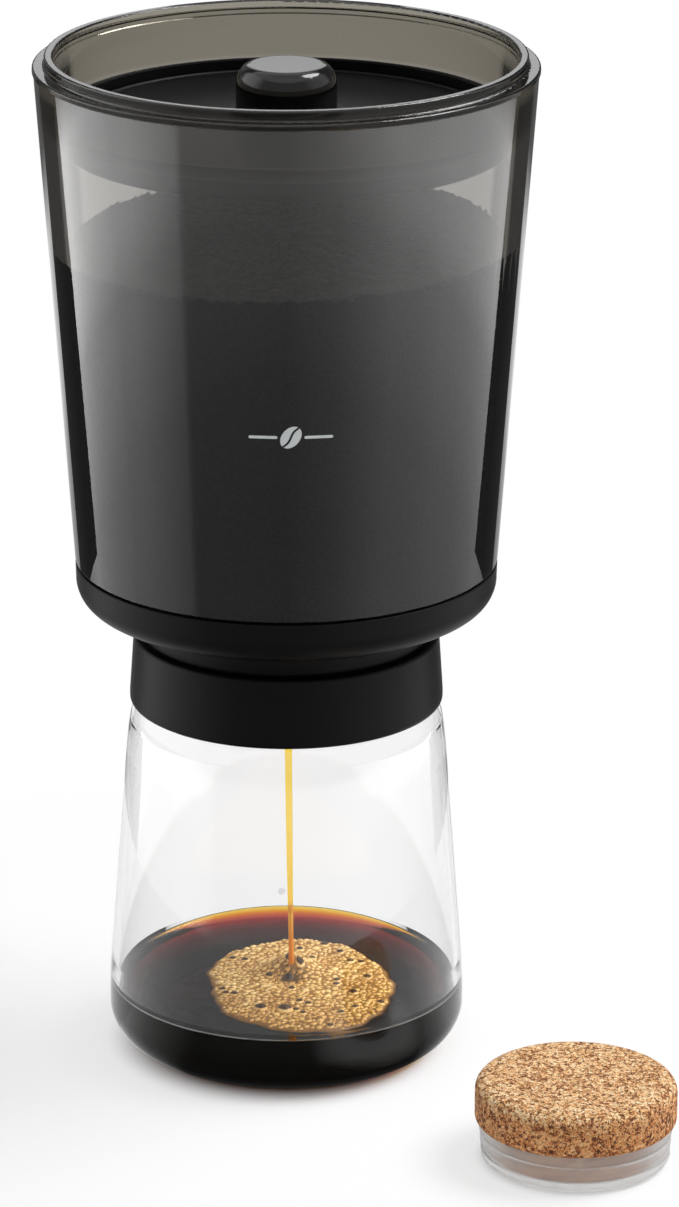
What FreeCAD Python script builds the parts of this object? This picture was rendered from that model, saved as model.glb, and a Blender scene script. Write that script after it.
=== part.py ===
import FreeCAD, Part
import math
import os
import re

import Sketcher

# Cold brew coffee maker: a glass carafe, a tapered brewing container that stands on it through a
# spring-closed drain valve, a cover with a knob, a lift-out filter, and the carafe's cork stopper.
# The frame is +Z up, with the origin at the centre of the carafe's foot.  Millimetres throughout.
# Heights are measured from the foot plane and radii from the common axis, except on the stopper,
# which has its own axis beside the carafe.

SIZES = """
foot_flat            37.0    radius of the carafe's flat foot
foot_round           21.08   foot rounding next to the flat
belly_round          11.8    foot rounding next to the belly
belly_radius         54.8    widest radius of the carafe
belly_height         14.0    height where the foot rounding meets the belly
belly_band           2.0     height of the straight band at the belly
belly_bow            164.0   radius of the bow from the belly into the cone
cone_start           28.6    lower end of the cone
cone_start_radius    54.3    radius at the lower end of the cone
cone_end             95.0    upper end of the cone
cone_end_radius      49.1    radius at the upper end of the cone
shoulder_bow         210.0   radius of the bow from the cone into the shoulder
shoulder_start       106.3   height where the shoulder starts
shoulder_start_radius 47.92  radius where the shoulder starts
shoulder_round       15.0    rounding of the shoulder
shoulder_end         119.0   height where the shoulder rounding ends
shoulder_end_radius  36.17   radius where the shoulder rounding ends
neck_radius          31.0    outer radius of the neck
neck_root            119.83  height where the neck's fillet starts
neck_fillet          1.6     fillet between shoulder and neck
mouth_bore           27.9    inner radius of the mouth
mouth_height         127.0   height of the mouth's rim
rim_round            1.2     rounding of the mouth's rim
glass_wall           2.4     wall of the carafe
glass_floor          3.2     thickness of the carafe's foot
inner_flat           36.0    radius of the flat inside the foot
inner_foot_round     19.1    inner rounding next to the flat
inner_belly_round    10.4    inner rounding next to the belly
inner_belly_height   16.0    height where the inner rounding meets the belly
inner_belly_band     1.0     height of the straight band inside the belly
fillet_across        0.79    share of a neck fillet's radius that it reaches outward
fillet_up            0.98    share of a neck fillet's radius that it reaches along the neck
inner_step           0.4     offset of the inner shoulder's heights from the outer ones
inner_end_step       0.6     the same across, at the inner shoulder's upper end

total_height         314.0   height of the container's lip
lip_radius           71.45   outer radius of the lip
lip_bore             68.8    bore of the container at the lip
bore_slope           0.0675  narrowing of the bore per millimetre of depth
soft_edge            0.6     rounding of the lip and ledge edges
ledge_height         310.8   top of the ledge round the lip
ledge_radius         75.0    radius of the ledge
ledge_underside      309.0   underside of the ledge
ledge_chamfer        0.2     chamfer under the ledge
body_radius          74.6    radius of the container under the ledge
seam_height          158.0   middle of the seam between container and base
seam_gap             0.8     height of the open seam
seam_radius          64.0    radius of the container at the seam
seam_edge            0.4     edge break at the seam
spigot_radius        61.5    outer radius of the container's spigot
spigot_bottom        152.5   lower end of the spigot

socket_bore          61.8    bore of the base round the spigot
skirt_radius         63.95   radius of the base at the seam
skirt_foot_radius    63.8    radius at the skirt's lower edge
skirt_foot           153.0   height of the skirt's lower edge
skirt_round          8.4     rounding under the skirt
underside_radius     56.0    radius where the underside starts
underside_height     144.0   height where the underside starts
cove_edge_radius     46.5    radius where the underside runs into the cove
cove_edge_height     142.4   height where the underside runs into the cove
cove_radius          43.5    radius of the waist in the cove
cove_round           3.0     upper rounding of the cove
cove_foot_round      1.1     lower rounding of the cove
collar_top           134.4   height of the collar
collar_top_radius    46.6    radius of the collar below its top edge
collar_top_round     1.2     rounding of the collar's top edge
collar_radius        47.8    radius of the collar at its lower end
collar_waist         115.5   height where the collar's flare ends
collar_bottom        112.7   lower edge of the collar
collar_edge          1.3     rounding of the collar's lower edge
collar_bore          45.9    bore of the collar
collar_ceiling       130.5   height of the collar's bore at its wall
throat_radius        40.5    bore between collar and drain floor
throat_foot          133.0   lower end of the throat
gasket_shelf         151.0   shelf under the container's gasket
gasket_bore          58.2    inner radius of the container's gasket
filter_bore          57.9    bore round the filter
filter_shelf         149.0   shelf under the filter
filter_shelf_radius  53.0    inner radius of the filter's shelf
floor_shelf          145.6   shelf under the drain floor
floor_sheet          2.0     thickness of the drain floor
floor_radius         52.7    radius of the drain floor
funnel_radius        40.0    radius where the drain floor starts to slope
funnel_lip_radius    39.0    the same at its underside
seat_radius          9.5     radius of the valve seat
seat_bore            5.0     bore of the valve seat
seat_height          142.6   height of the valve seat
spout_radius         7.5     outer radius of the drain spout
spout_bore           5.5     bore of the drain spout
spout_foot           133.2   lower end of the drain spout
guide_bore           31.8    bore of the guide round the carafe's neck
guide_wall_radius    43.6    inner radius of the guide's wall
guide_foot           120.0   lower end of the guide's wall
guide_web_foot       122.5   underside of the guide's web
guide_web            2.0     thickness of the guide's web
guide_top            130.0   upper end of the guide's wall
screw_count          3       screws that hold the drain floor
screw_circle         46.5    radius of the circle of screws
screw_radius         1.25    radius of a screw's shank
screw_hole           1.4     radius of a screw's hole
screw_foot           143.9   lower end of a screw
screw_hole_foot      143.7   bottom of a screw's hole
screw_head_radius    2.6     radius of a screw's head
screw_head           1.3     height of a screw's head
screw_socket         1.2     radius of a screw's socket
screw_socket_depth   0.8     depth of a screw's socket

foot_ring_radius     30.5    outer radius of the valve foot's ring
foot_ring_bore       25.0    inner radius of the valve foot's ring
foot_ring_sheet      2.5     thickness of the valve foot's ring
foot_skirt_radius    27.4    radius of the rim that centres the foot in the mouth
foot_skirt           3.5     depth of that rim
cup_radius           10.0    outer radius of the valve cup
cup_bore             8.3     bore of the valve cup
cup_top              136.0   height of the valve cup
cup_floor            2.0     thickness of the cup's floor
nozzle_radius        4.2     radius of the nozzle under the cup
nozzle_bore          2.5     bore of the nozzle
nozzle_drop          2.5     depth of the nozzle under the cup
arm_count            3       arms between ring and cup
arm_width            5.0     width of an arm
arm_lap              1.0     length of an arm or spoke inside what it joins
wall_lap             0.5     the same inside the cup's wall
spider_foot          130.6   underside of the spider inside the cup
spider_sheet         2.0     height of the spider
spider_radius        3.4     radius of the spider's hub
spider_rib           1.6     width of the spider's ribs
stem_radius          3.0     radius of the valve stem
stem_pin             2.2     radius of the stem's upper pin
stem_top             149.1   height of the stem
seal_height          146.8   underside of the valve seal
seal_radius          9.0     radius of the valve seal
seal_sheet           1.6     thickness of the valve seal
seal_round           0.5     rounding of the seal's lower edge
clip_radius          4.4     radius of the retaining clip
spring_radius        12.0    mean radius of the valve spring
spring_wire          0.6     radius of the spring's wire
spring_pitch         2.55    pitch of the spring
spring_turns         4       turns of the spring

frame_radius         57.4    outer radius of the filter frame
frame_bore           51.0    bore of the filter frame
frame_top            153.1   height of the filter frame
frame_edge           0.5     edge break on the filter frame
mesh_radius          52.8    radius of the filter mesh
mesh_foot            150.3   underside of the filter mesh
mesh_sheet           0.7     thickness of the filter mesh
mesh_clearance       0.1     gap round the filter mesh
filter_gasket_sheet  0.8     thickness of the filter gasket
filter_gasket_bore   53.2    bore of the filter gasket
filter_gasket_radius 57.3    outer radius of the filter gasket
spoke_count          6       spokes on the filter frame
spoke_width          2.4     width of a spoke
hub_radius           8.0     radius of the filter's hub
tab_width            16.0    width of the filter's pull tab
tab_sheet            2.4     thickness of the pull tab
tab_height           16.0    height of the pull tab
tab_hole             4.5     radius of the finger hole in the tab

dish_bottom          285.6   underside of the cover dish
dish_bottom_radius   60.5    radius of the dish's flat underside
dish_round           6.9     rounding of the dish
dish_side_radius     66.6    radius above the dish's rounding
dish_side            292.3   height above the dish's rounding
dish_floor           2.2     thickness of the dish's floor
dish_well_radius     59.6    radius of the dish's flat inside
dish_well_side       290.5   height where the dish's inner wall starts
dish_rim_bore        64.9    bore of the dish's rim
seal_groove_radius   65.9    radius behind the cover seal
seal_groove_foot     292.5   lower end of the cover seal
seal_top_radius      67.3    outer radius of the cover seal at its top
seal_foot_radius     67.0    outer radius of the cover seal at its foot
cover_height         296.7   height of the cover's rim
dish_rim_step        0.2     step of the dish's rim below the seal
boss_radius          12.0    radius of the dish's boss
plate_foot           291.6   underside of the cover plate
plate_radius         63.8    radius of the cover plate
plate_edge_height    294.0   height of the plate's raised edge
plate_edge           0.5     edge break on the plate
plate_lip            1.1     width of the raised edge
plate_lip_drop       0.35    drop inside the raised edge
plate_dome           1112.0  radius of the plate's dome
plate_seat           294.8   seat of the knob ring
plate_crown          295.3   height of the plate at the knob ring
ring_radius          17.6    radius of the knob ring
ring_foot_radius     16.8    radius of the knob ring in its seat
ring_clearance       0.1     gap between the ring's overhang and the plate
knob_radius          15.0    radius of the knob
knob_edge            0.4     edge break at the knob's foot
knob_side            304.1   height where the knob starts to round over
knob_side_round      8.7     rounding next to the knob's side
knob_top_round       3.2     rounding next to the knob's top
knob_top_radius      10.7    radius of the knob's flat top
knob_height          310.6   height of the knob
knob_bore            2.3     bore in the knob
knob_bore_top        304.5   end of the bore in the knob
knob_screw_radius    2.2     radius of the knob screw
knob_screw_top       303.9   end of the knob screw
knob_head_radius     4.6     radius of the knob screw's head
knob_head_foot       285.9   underside of the knob screw's head
knob_head            2.0     height of the knob screw's head
clear_bore           2.8     bore round the knob screw
counterbore          5.2     radius of the counterbore in the dish
counterbore_top      288.0   end of the counterbore
drip_radius          1.1     radius of a drip hole
drip_first           24.0    radius of the first circle of drip holes
drip_step            10.0    distance between circles of drip holes
drip_circles         4       circles of drip holes
drip_holes           12      drip holes in the first circle
drip_more            6       more drip holes in each further circle

stopper_across       85.8    stopper's place along X
stopper_forward      90.0    stopper's distance in front of the carafe's axis
cork_radius          30.0    radius of the cork head
cork_foot            12.2    underside of the cork head
cork_foot_round      1.6     rounding of its lower edge
cork_height          25.1    height of the cork head
cork_top_round       3.8     rounding of its upper edge
core_radius          23.9    radius of the cork core in the plug
core_foot            2.6     underside of the cork core
plug_bore            24.0    bore of the plug round the core
plug_floor           2.5     thickness of the plug's floor
plug_foot_radius     26.2    radius of the plug's bottom lip
plug_chamfer         0.4     chamfer of the plug's fins
fin_low_radius       28.1    radius of the lower fin
fin_low_foot         1.5     underside of the lower fin
fin_low_top          3.6     top of the lower fin
groove_low_radius    27.2    radius between the fins
fin_high_radius      28.4    radius of the upper fin
fin_high_foot        5.8     underside of the upper fin
fin_high_top         8.3     top of the upper fin
groove_high_radius   27.4    radius between upper fin and flange
flange_radius        28.7    radius of the plug's flange
flange_foot          9.2     underside of the plug's flange
notch_width          2.4     width of the notch at the lower fin's underside
notch_height         1.8     height of the notch
notch_overrun        1.0     how far the notch's cut starts in front of the fin
"""

doc = FreeCAD.newDocument("ColdBrewMaker")


# ---------------------------------------------------------------- sheet and expressions

def make_sheet():
    """Put each size in a named cell, with its meaning beside it."""
    sheet = doc.addObject("Spreadsheet::Sheet", "Dim")
    rows = [line.split(None, 2) for line in SIZES.splitlines() if line.strip()]
    for number, (alias, size, meaning) in enumerate(rows, start=1):
        sheet.set("A%d" % number, meaning)
        sheet.set("B%d" % number, size)
        sheet.setAlias("B%d" % number, alias)
    doc.recompute()
    return sheet, {alias for alias, size, meaning in rows}


sheet, aliases = make_sheet()


def bound(text):
    """The expression text with each size's name pointing at the sheet."""
    return re.sub(r"[a-z][a-z_]+", lambda word: "Dim." + word.group() if word.group() in aliases
                  else word.group(), text)


def value(text):
    """The present value of an expression, in millimetres."""
    return float(sheet.evalExpression(bound(text)))


# ---------------------------------------------------------------- sketches

def plane_of(body, role):
    """One of the body's own origin planes."""
    return next(plane for plane in body.Origin.OriginFeatures if plane.Role == role)


def new_sketch(body, name, role, height=None):
    """A sketch on one of the body's origin planes, lifted to a height where one is given."""
    sketch = body.newObject("Sketcher::SketchObject", name)
    sketch.AttachmentSupport = [(plane_of(body, role), "")]
    sketch.MapMode = "FlatFace"
    if height is not None:
        sketch.AttachmentOffset = FreeCAD.Placement(FreeCAD.Vector(0, 0, value(height)),
                                                    FreeCAD.Rotation())
        sketch.setExpression("AttachmentOffset.Base.z", bound(height))
    return sketch


def bind(sketch, kind, geometry, text, point=None):
    """A dimension of the sketch, bound to an expression."""
    if point is None:
        index = sketch.addConstraint(Sketcher.Constraint(kind, geometry, abs(value(text))))
    else:
        index = sketch.addConstraint(
            Sketcher.Constraint(kind, -1, 1, geometry, point, value(text)))
    sketch.setExpression("Constraints[%d]" % index, bound(text))


def pin(sketch, geometry, point, across, up):
    """Hold a point of the sketch at (across, up)."""
    for kind, text, axis in (("DistanceX", across, -2), ("DistanceY", up, -1)):
        if text == "0":
            sketch.addConstraint(Sketcher.Constraint("PointOnObject", geometry, point, axis))
        else:
            bind(sketch, kind, geometry, text, point)


def arc_between(start, end, bend):
    """The shorter arc from start to end; a positive radius turns left, a negative one right."""
    radius = abs(bend)
    chord = end - start
    half = chord.Length / 2
    left = FreeCAD.Vector(-chord.y, chord.x, 0).normalize()
    rise = math.sqrt(max(radius * radius - half * half, 0.0))
    centre = (start + end) * 0.5 + left * math.copysign(rise, bend)
    first, last = (start, end) if bend > 0 else (end, start)
    angles = [math.atan2(point.y - centre.y, point.x - centre.x) for point in (first, last)]
    circle = Part.Circle(centre, FreeCAD.Vector(0, 0, 1), radius)
    return Part.ArcOfCircle(circle, angles[0], angles[1])


def draw(sketch, corners):
    """Draw a closed outline.  A corner is (across, up), or (across, up, bend) where the edge that
    leads to it is an arc of that radius."""
    points = [FreeCAD.Vector(value(corner[0]), value(corner[1]), 0) for corner in corners]
    first = sketch.GeometryCount
    ends = []
    for index, corner in enumerate(corners):
        start, end = points[index - 1], points[index]
        if len(corner) == 2:
            sketch.addGeometry(Part.LineSegment(start, end), False)
            ends.append((1, 2))
        else:
            bend = value(corner[2])
            sketch.addGeometry(arc_between(start, end, bend), False)
            ends.append((1, 2) if bend > 0 else (2, 1))
    for index, corner in enumerate(corners):
        edge = first + index
        following = first + (index + 1) % len(corners)
        leading = ends[(index + 1) % len(corners)][0]
        sketch.addConstraint(
            Sketcher.Constraint("Coincident", edge, ends[index][1], following, leading))
        pin(sketch, edge, ends[index][1], corner[0], corner[1])
        if len(corner) == 3:
            bind(sketch, "Radius", edge, corner[2].lstrip("-"))
    return sketch


def draw_circle(sketch, across, up, radius):
    """Draw a circle, held by its centre and radius."""
    centre = FreeCAD.Vector(value(across), value(up), 0)
    circle = Part.Circle(centre, FreeCAD.Vector(0, 0, 1), value(radius))
    index = sketch.addGeometry(circle, False)
    pin(sketch, index, 3, across, up)
    bind(sketch, "Radius", index, radius)
    return sketch


# ---------------------------------------------------------------- features

def new_body(label):
    """An empty body that carries the sub-part's name."""
    body = doc.addObject("PartDesign::Body", label)
    body.Label = label
    return body


def turn(body, name, corners):
    """Turn a closed outline, drawn as (radius, height), round the vertical axis."""
    sketch = draw(new_sketch(body, name + "_outline", "XZ_Plane"), corners)
    feature = body.newObject("PartDesign::Revolution", name)
    feature.Profile = sketch
    feature.ReferenceAxis = (sketch, ["V_Axis"])
    feature.Angle = 360
    sketch.Visibility = False
    return feature


def turned(label, corners):
    """A sub-part that is one turned outline."""
    body = new_body(label)
    turn(body, label + "_turn", corners)
    return body


def pad(body, name, sketch, length, both_ways=False):
    """Raise a sketch by a length, or by half of it to each side."""
    feature = body.newObject("PartDesign::Pad", name)
    feature.Profile = sketch
    feature.Length = value(length)
    feature.setExpression("Length", bound(length))
    feature.Midplane = both_ways
    return feature


def pocket(body, name, sketch, depth):
    """Cut a sketch downwards by a depth, and make sure that it cuts something."""
    doc.recompute()
    before = body.Shape.Volume
    feature = body.newObject("PartDesign::Pocket", name)
    feature.Profile = sketch
    feature.Length = value(depth)
    feature.setExpression("Length", bound(depth))
    doc.recompute()
    if body.Shape.Volume > before - 1e-3:
        raise RuntimeError(name + " cuts nothing")
    return feature


def around(body, name, feature, count):
    """Repeat a feature evenly round the vertical axis."""
    pattern = body.newObject("PartDesign::PolarPattern", name)
    pattern.Originals = [feature]
    pattern.Axis = (feature.Profile[0], ["N_Axis"])
    pattern.Angle = 360
    pattern.Occurrences = int(value(count)) if isinstance(count, str) else count
    if isinstance(count, str):
        pattern.setExpression("Occurrences", bound(count))
    body.Tip = pattern
    return pattern


def ring_corners(inner, outer, foot, top):
    """The outline of a plain ring."""
    return [(inner, foot), (outer, foot), (outer, top), (inner, top)]


def block_corners(left, right, half_width):
    """A rectangle that lies evenly on the first axis."""
    return [(left, "-" + half_width), (right, "-" + half_width), (right, half_width),
            (left, half_width)]


def soft_corner(flat, floor, side, height, flat_round, side_round):
    """The point between two tangent arcs that turn a floor up into a wall."""
    gap = "(%s - %s)" % (flat_round, side_round)
    across = "%s + %s * (%s - %s - %s) / %s" % (flat, flat_round, side, flat, side_round, gap)
    rise = "%s * (%s + %s - %s) / %s" % (flat_round, floor, flat_round, height, gap)
    return across, "%s + %s - %s" % (floor, flat_round, rise)


# ---------------------------------------------------------------- carafe

def carafe_glass():
    """A cone with a rounded foot, a round shoulder and a short neck."""
    outer = soft_corner("foot_flat", "0", "belly_radius", "belly_height", "foot_round",
                        "belly_round")
    inner = soft_corner("inner_flat", "glass_floor", "belly_radius - glass_wall",
                        "inner_belly_height", "inner_foot_round", "inner_belly_round")
    return turned("carafe_glass", [
        ("0", "0"),
        ("foot_flat", "0"),
        (outer[0], outer[1], "foot_round"),
        ("belly_radius", "belly_height", "belly_round"),
        ("belly_radius", "belly_height + belly_band"),
        ("cone_start_radius", "cone_start", "belly_bow"),
        ("cone_end_radius", "cone_end"),
        ("shoulder_start_radius", "shoulder_start", "shoulder_bow"),
        ("shoulder_end_radius", "shoulder_end", "shoulder_round"),
        ("neck_radius + fillet_across * neck_fillet", "neck_root"),
        ("neck_radius", "neck_root + fillet_up * neck_fillet", "-neck_fillet"),
        ("neck_radius", "mouth_height - rim_round"),
        ("neck_radius - rim_round", "mouth_height", "rim_round"),
        ("mouth_bore + rim_round", "mouth_height"),
        ("mouth_bore", "mouth_height - rim_round", "rim_round"),
        ("mouth_bore", "neck_root + inner_step"),
        ("mouth_bore + fillet_across * glass_wall",
         "neck_root + inner_step - fillet_up * glass_wall", "glass_wall"),
        ("shoulder_end_radius - inner_end_step", "shoulder_end - glass_wall"),
        ("shoulder_start_radius - glass_wall", "shoulder_start - inner_step",
         "-(shoulder_round - glass_wall)"),
        ("cone_end_radius - glass_wall", "cone_end"),
        ("cone_start_radius - glass_wall", "cone_start"),
        ("belly_radius - glass_wall", "inner_belly_height + inner_belly_band"),
        ("belly_radius - glass_wall", "inner_belly_height"),
        (inner[0], inner[1], "-inner_belly_round"),
        ("inner_flat", "glass_floor", "-inner_foot_round"),
        ("0", "glass_floor"),
    ])


# ---------------------------------------------------------------- container

def container_shell():
    """The tapered wall, with a stepped lip above and a spigot below."""
    bore_foot = "lip_bore - bore_slope * (total_height - spigot_bottom)"
    shell_foot = "seam_height + seam_gap / 2"
    return turned("container_shell", [
        (bore_foot, "spigot_bottom"),
        ("spigot_radius", "spigot_bottom"),
        ("spigot_radius", shell_foot),
        ("seam_radius - seam_edge", shell_foot),
        ("seam_radius", shell_foot + " + seam_edge", "seam_edge"),
        ("body_radius", "ledge_underside - ledge_chamfer"),
        ("ledge_radius - ledge_chamfer", "ledge_underside"),
        ("ledge_radius", "ledge_underside + ledge_chamfer"),
        ("ledge_radius", "ledge_height - soft_edge"),
        ("ledge_radius - soft_edge", "ledge_height", "soft_edge"),
        ("lip_radius + soft_edge", "ledge_height"),
        ("lip_radius", "ledge_height + soft_edge", "-soft_edge"),
        ("lip_radius", "total_height - soft_edge"),
        ("lip_radius - soft_edge", "total_height", "soft_edge"),
        ("lip_bore + soft_edge", "total_height"),
        ("lip_bore", "total_height - soft_edge", "soft_edge"),
    ])


def screw_holes(body, name, top, depth):
    """Holes for the screws of the drain floor."""
    sketch = new_sketch(body, name + "_sketch", "XY_Plane", top)
    draw_circle(sketch, "screw_circle", "0", "screw_hole")
    hole = pocket(body, name, sketch, depth)
    around(body, name + "_pattern", hole, "screw_count")


def neck_collar():
    """The collar that goes over the carafe's neck and carries the base."""
    return turned("neck_collar", [
        ("collar_bore", "collar_bottom"),
        ("collar_radius - collar_edge", "collar_bottom"),
        ("collar_radius", "collar_bottom + collar_edge", "collar_edge"),
        ("collar_radius", "collar_waist"),
        ("collar_top_radius", "collar_top - collar_top_round"),
        ("collar_top_radius - collar_top_round", "collar_top", "collar_top_round"),
        ("throat_radius", "collar_top"),
        ("throat_radius", "throat_foot"),
        ("collar_bore", "collar_ceiling"),
    ])


def drain_base():
    """The cup under the container: skirt, rounded underside and cove."""
    rim = "seam_height - seam_gap / 2"
    body = turned("drain_base", [
        ("throat_radius", "collar_top"),
        ("cove_radius + cove_foot_round", "collar_top"),
        ("cove_radius", "collar_top + cove_foot_round", "-cove_foot_round"),
        ("cove_radius", "cove_edge_height - cove_round"),
        ("cove_edge_radius", "cove_edge_height", "-cove_round"),
        ("underside_radius", "underside_height"),
        ("skirt_foot_radius", "skirt_foot", "skirt_round"),
        ("skirt_radius", rim + " - seam_edge"),
        ("skirt_radius - seam_edge", rim, "seam_edge"),
        ("socket_bore", rim),
        ("socket_bore", "gasket_shelf"),
        ("filter_bore", "gasket_shelf"),
        ("filter_bore", "filter_shelf"),
        ("filter_shelf_radius", "filter_shelf"),
        ("filter_shelf_radius", "floor_shelf"),
        ("throat_radius", "floor_shelf"),
    ])
    screw_holes(body, "base_holes", "floor_shelf", "floor_shelf - screw_hole_foot")
    return body


def shell_gasket():
    """The ring that the spigot stands on."""
    return turned("shell_gasket",
                  ring_corners("gasket_bore", "spigot_radius", "gasket_shelf", "spigot_bottom"))


def drain_floor():
    """A shallow funnel with the valve's seat in the middle."""
    body = turned("drain_floor", [
        ("seat_bore", "seat_height - floor_sheet"),
        ("seat_radius", "seat_height - floor_sheet"),
        ("funnel_lip_radius", "floor_shelf"),
        ("floor_radius", "floor_shelf"),
        ("floor_radius", "floor_shelf + floor_sheet"),
        ("funnel_radius", "floor_shelf + floor_sheet"),
        ("seat_radius", "seat_height"),
        ("seat_bore", "seat_height"),
    ])
    screw_holes(body, "floor_holes", "floor_shelf + floor_sheet", "floor_sheet")
    return body


def drain_spout():
    """The tube under the seat, which leads into the valve cup."""
    return turned("drain_spout",
                  ring_corners("spout_bore", "spout_radius", "spout_foot",
                               "seat_height - floor_sheet"))


def neck_guide():
    """The ring inside the collar that centres it over the carafe's neck."""
    return turned("neck_guide", [
        ("guide_bore", "guide_web_foot"),
        ("guide_wall_radius", "guide_web_foot"),
        ("guide_wall_radius", "guide_foot"),
        ("collar_bore", "guide_foot"),
        ("collar_bore", "guide_top"),
        ("guide_wall_radius", "guide_top"),
        ("guide_wall_radius", "guide_web_foot + guide_web"),
        ("guide_bore", "guide_web_foot + guide_web"),
    ])


def cylinder(name, radius, length, foot):
    """A Part cylinder whose sizes are bound to the sheet."""
    item = doc.addObject("Part::Cylinder", name)
    for prop, text in (("Radius", radius), ("Height", length), ("Placement.Base.z", foot)):
        item.setExpression(prop, bound(text))
    return item


def floor_screws():
    """The screws that hold the drain floor to the base."""
    head_foot = "floor_shelf + floor_sheet"
    socket_foot = head_foot + " + screw_head - screw_socket_depth"
    screws = []
    for index in range(int(value("screw_count"))):
        mark = "_%d" % (index + 1)
        shank = cylinder("shank" + mark, "screw_radius", head_foot + " - screw_foot", "screw_foot")
        head = cylinder("head" + mark, "screw_head_radius", "screw_head", head_foot)
        socket = cylinder("socket" + mark, "screw_socket", "screw_socket_depth", socket_foot)
        solid = doc.addObject("Part::Fuse", "solid" + mark)
        solid.Base = shank
        solid.Tool = head
        screw = doc.addObject("Part::Cut", "screw" + mark)
        screw.Base = solid
        screw.Tool = socket
        angle = "360 / screw_count * %d" % index
        screw.setExpression("Placement.Base.x", bound("screw_circle * cos(%s)" % angle))
        screw.setExpression("Placement.Base.y", bound("screw_circle * sin(%s)" % angle))
        screws.append(screw)
    group = doc.addObject("Part::Compound", "floor_screws")
    group.Label = "floor_screws"
    group.Links = screws
    return group


# ---------------------------------------------------------------- drain valve

def valve_foot():
    """The ring on the carafe's mouth, three arms, and the cup with the nozzle."""
    body = new_body("valve_foot")
    ring_top = "mouth_height + foot_ring_sheet"
    turn(body, "foot_ring", [
        ("foot_ring_bore", "mouth_height - foot_skirt"),
        ("foot_skirt_radius", "mouth_height - foot_skirt"),
        ("foot_skirt_radius", "mouth_height"),
        ("foot_ring_radius", "mouth_height"),
        ("foot_ring_radius", ring_top),
        ("foot_ring_bore", ring_top),
    ])
    sketch = new_sketch(body, "arm_sketch", "XY_Plane", "mouth_height")
    draw(sketch, block_corners("cup_bore + wall_lap", "foot_ring_bore + arm_lap", "arm_width / 2"))
    arm = pad(body, "arm", sketch, "foot_ring_sheet")
    around(body, "arms", arm, "arm_count")
    turn(body, "cup", [
        ("nozzle_bore", "mouth_height - nozzle_drop"),
        ("nozzle_radius", "mouth_height - nozzle_drop"),
        ("nozzle_radius", "mouth_height"),
        ("cup_radius", "mouth_height"),
        ("cup_radius", "cup_top"),
        ("cup_bore", "cup_top"),
        ("cup_bore", "mouth_height + cup_floor"),
        ("nozzle_bore", "mouth_height + cup_floor"),
    ])
    ribs = new_sketch(body, "rib_sketch", "XY_Plane", "spider_foot")
    draw(ribs, block_corners("spider_radius - arm_lap", "cup_bore + wall_lap", "spider_rib / 2"))
    rib = pad(body, "rib", ribs, "spider_sheet")
    around(body, "ribs", rib, "arm_count")
    hub = draw_circle(new_sketch(body, "hub_sketch", "XY_Plane", "spider_foot"), "0", "0",
                      "spider_radius")
    pad(body, "hub", hub, "spider_sheet")
    return body


def valve_stem():
    """The rod on the cup's spider, with a thinner pin through the seal."""
    return turned("valve_stem", [
        ("0", "spider_foot + spider_sheet"),
        ("stem_radius", "spider_foot + spider_sheet"),
        ("stem_radius", "seal_height"),
        ("stem_pin", "seal_height"),
        ("stem_pin", "stem_top"),
        ("0", "stem_top"),
    ])


def valve_seal():
    """The washer that closes the seat."""
    return turned("valve_seal", [
        ("stem_pin", "seal_height"),
        ("seal_radius - seal_round", "seal_height"),
        ("seal_radius", "seal_height + seal_round", "seal_round"),
        ("seal_radius", "seal_height + seal_sheet"),
        ("stem_pin", "seal_height + seal_sheet"),
    ])


def valve_clip():
    """The clip that keeps the seal on the stem."""
    return turned("valve_clip",
                  ring_corners("stem_pin", "clip_radius", "seal_height + seal_sheet", "stem_top"))


def valve_spring():
    """The compression spring round the cup, which lifts the container off the valve foot."""
    body = new_body("valve_spring")
    sketch = new_sketch(body, "wire_sketch", "XZ_Plane")
    draw_circle(sketch, "spring_radius", "mouth_height + foot_ring_sheet + spring_wire",
                "spring_wire")
    coil = body.newObject("PartDesign::AdditiveHelix", "coil")
    coil.Profile = sketch
    coil.ReferenceAxis = (sketch, ["V_Axis"])
    coil.Mode = "pitch-turns-angle"
    coil.setExpression("Pitch", bound("spring_pitch"))
    coil.setExpression("Turns", bound("spring_turns"))
    return body


# ---------------------------------------------------------------- filter

def filter_frame():
    """A ring with spokes and a hub that press the mesh down."""
    body = new_body("filter_frame")
    mesh_top = "mesh_foot + mesh_sheet"
    turn(body, "frame_ring", [
        ("frame_bore", mesh_top),
        ("mesh_radius + mesh_clearance", mesh_top),
        ("mesh_radius + mesh_clearance", "filter_shelf + filter_gasket_sheet"),
        ("frame_radius", "filter_shelf + filter_gasket_sheet"),
        ("frame_radius", "frame_top - frame_edge"),
        ("frame_radius - frame_edge", "frame_top"),
        ("frame_bore", "frame_top"),
    ])
    spokes = new_sketch(body, "spoke_sketch", "XY_Plane", mesh_top)
    draw(spokes, block_corners("hub_radius - arm_lap", "frame_bore + arm_lap", "spoke_width / 2"))
    spoke = pad(body, "spoke", spokes, "frame_top - mesh_foot - mesh_sheet - frame_edge")
    around(body, "spokes", spoke, "spoke_count")
    hub = draw_circle(new_sketch(body, "frame_hub_sketch", "XY_Plane", mesh_top), "0", "0",
                      "hub_radius")
    pad(body, "frame_hub", hub, "frame_top - mesh_foot - mesh_sheet")
    return body


def filter_mesh():
    """The round sheet of mesh."""
    return turned("filter_mesh", [
        ("0", "mesh_foot"),
        ("mesh_radius", "mesh_foot"),
        ("mesh_radius", "mesh_foot + mesh_sheet"),
        ("0", "mesh_foot + mesh_sheet"),
    ])


def filter_gasket():
    """The ring between the filter and its shelf."""
    return turned("filter_gasket",
                  ring_corners("filter_gasket_bore", "filter_gasket_radius", "filter_shelf",
                               "filter_shelf + filter_gasket_sheet"))


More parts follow.
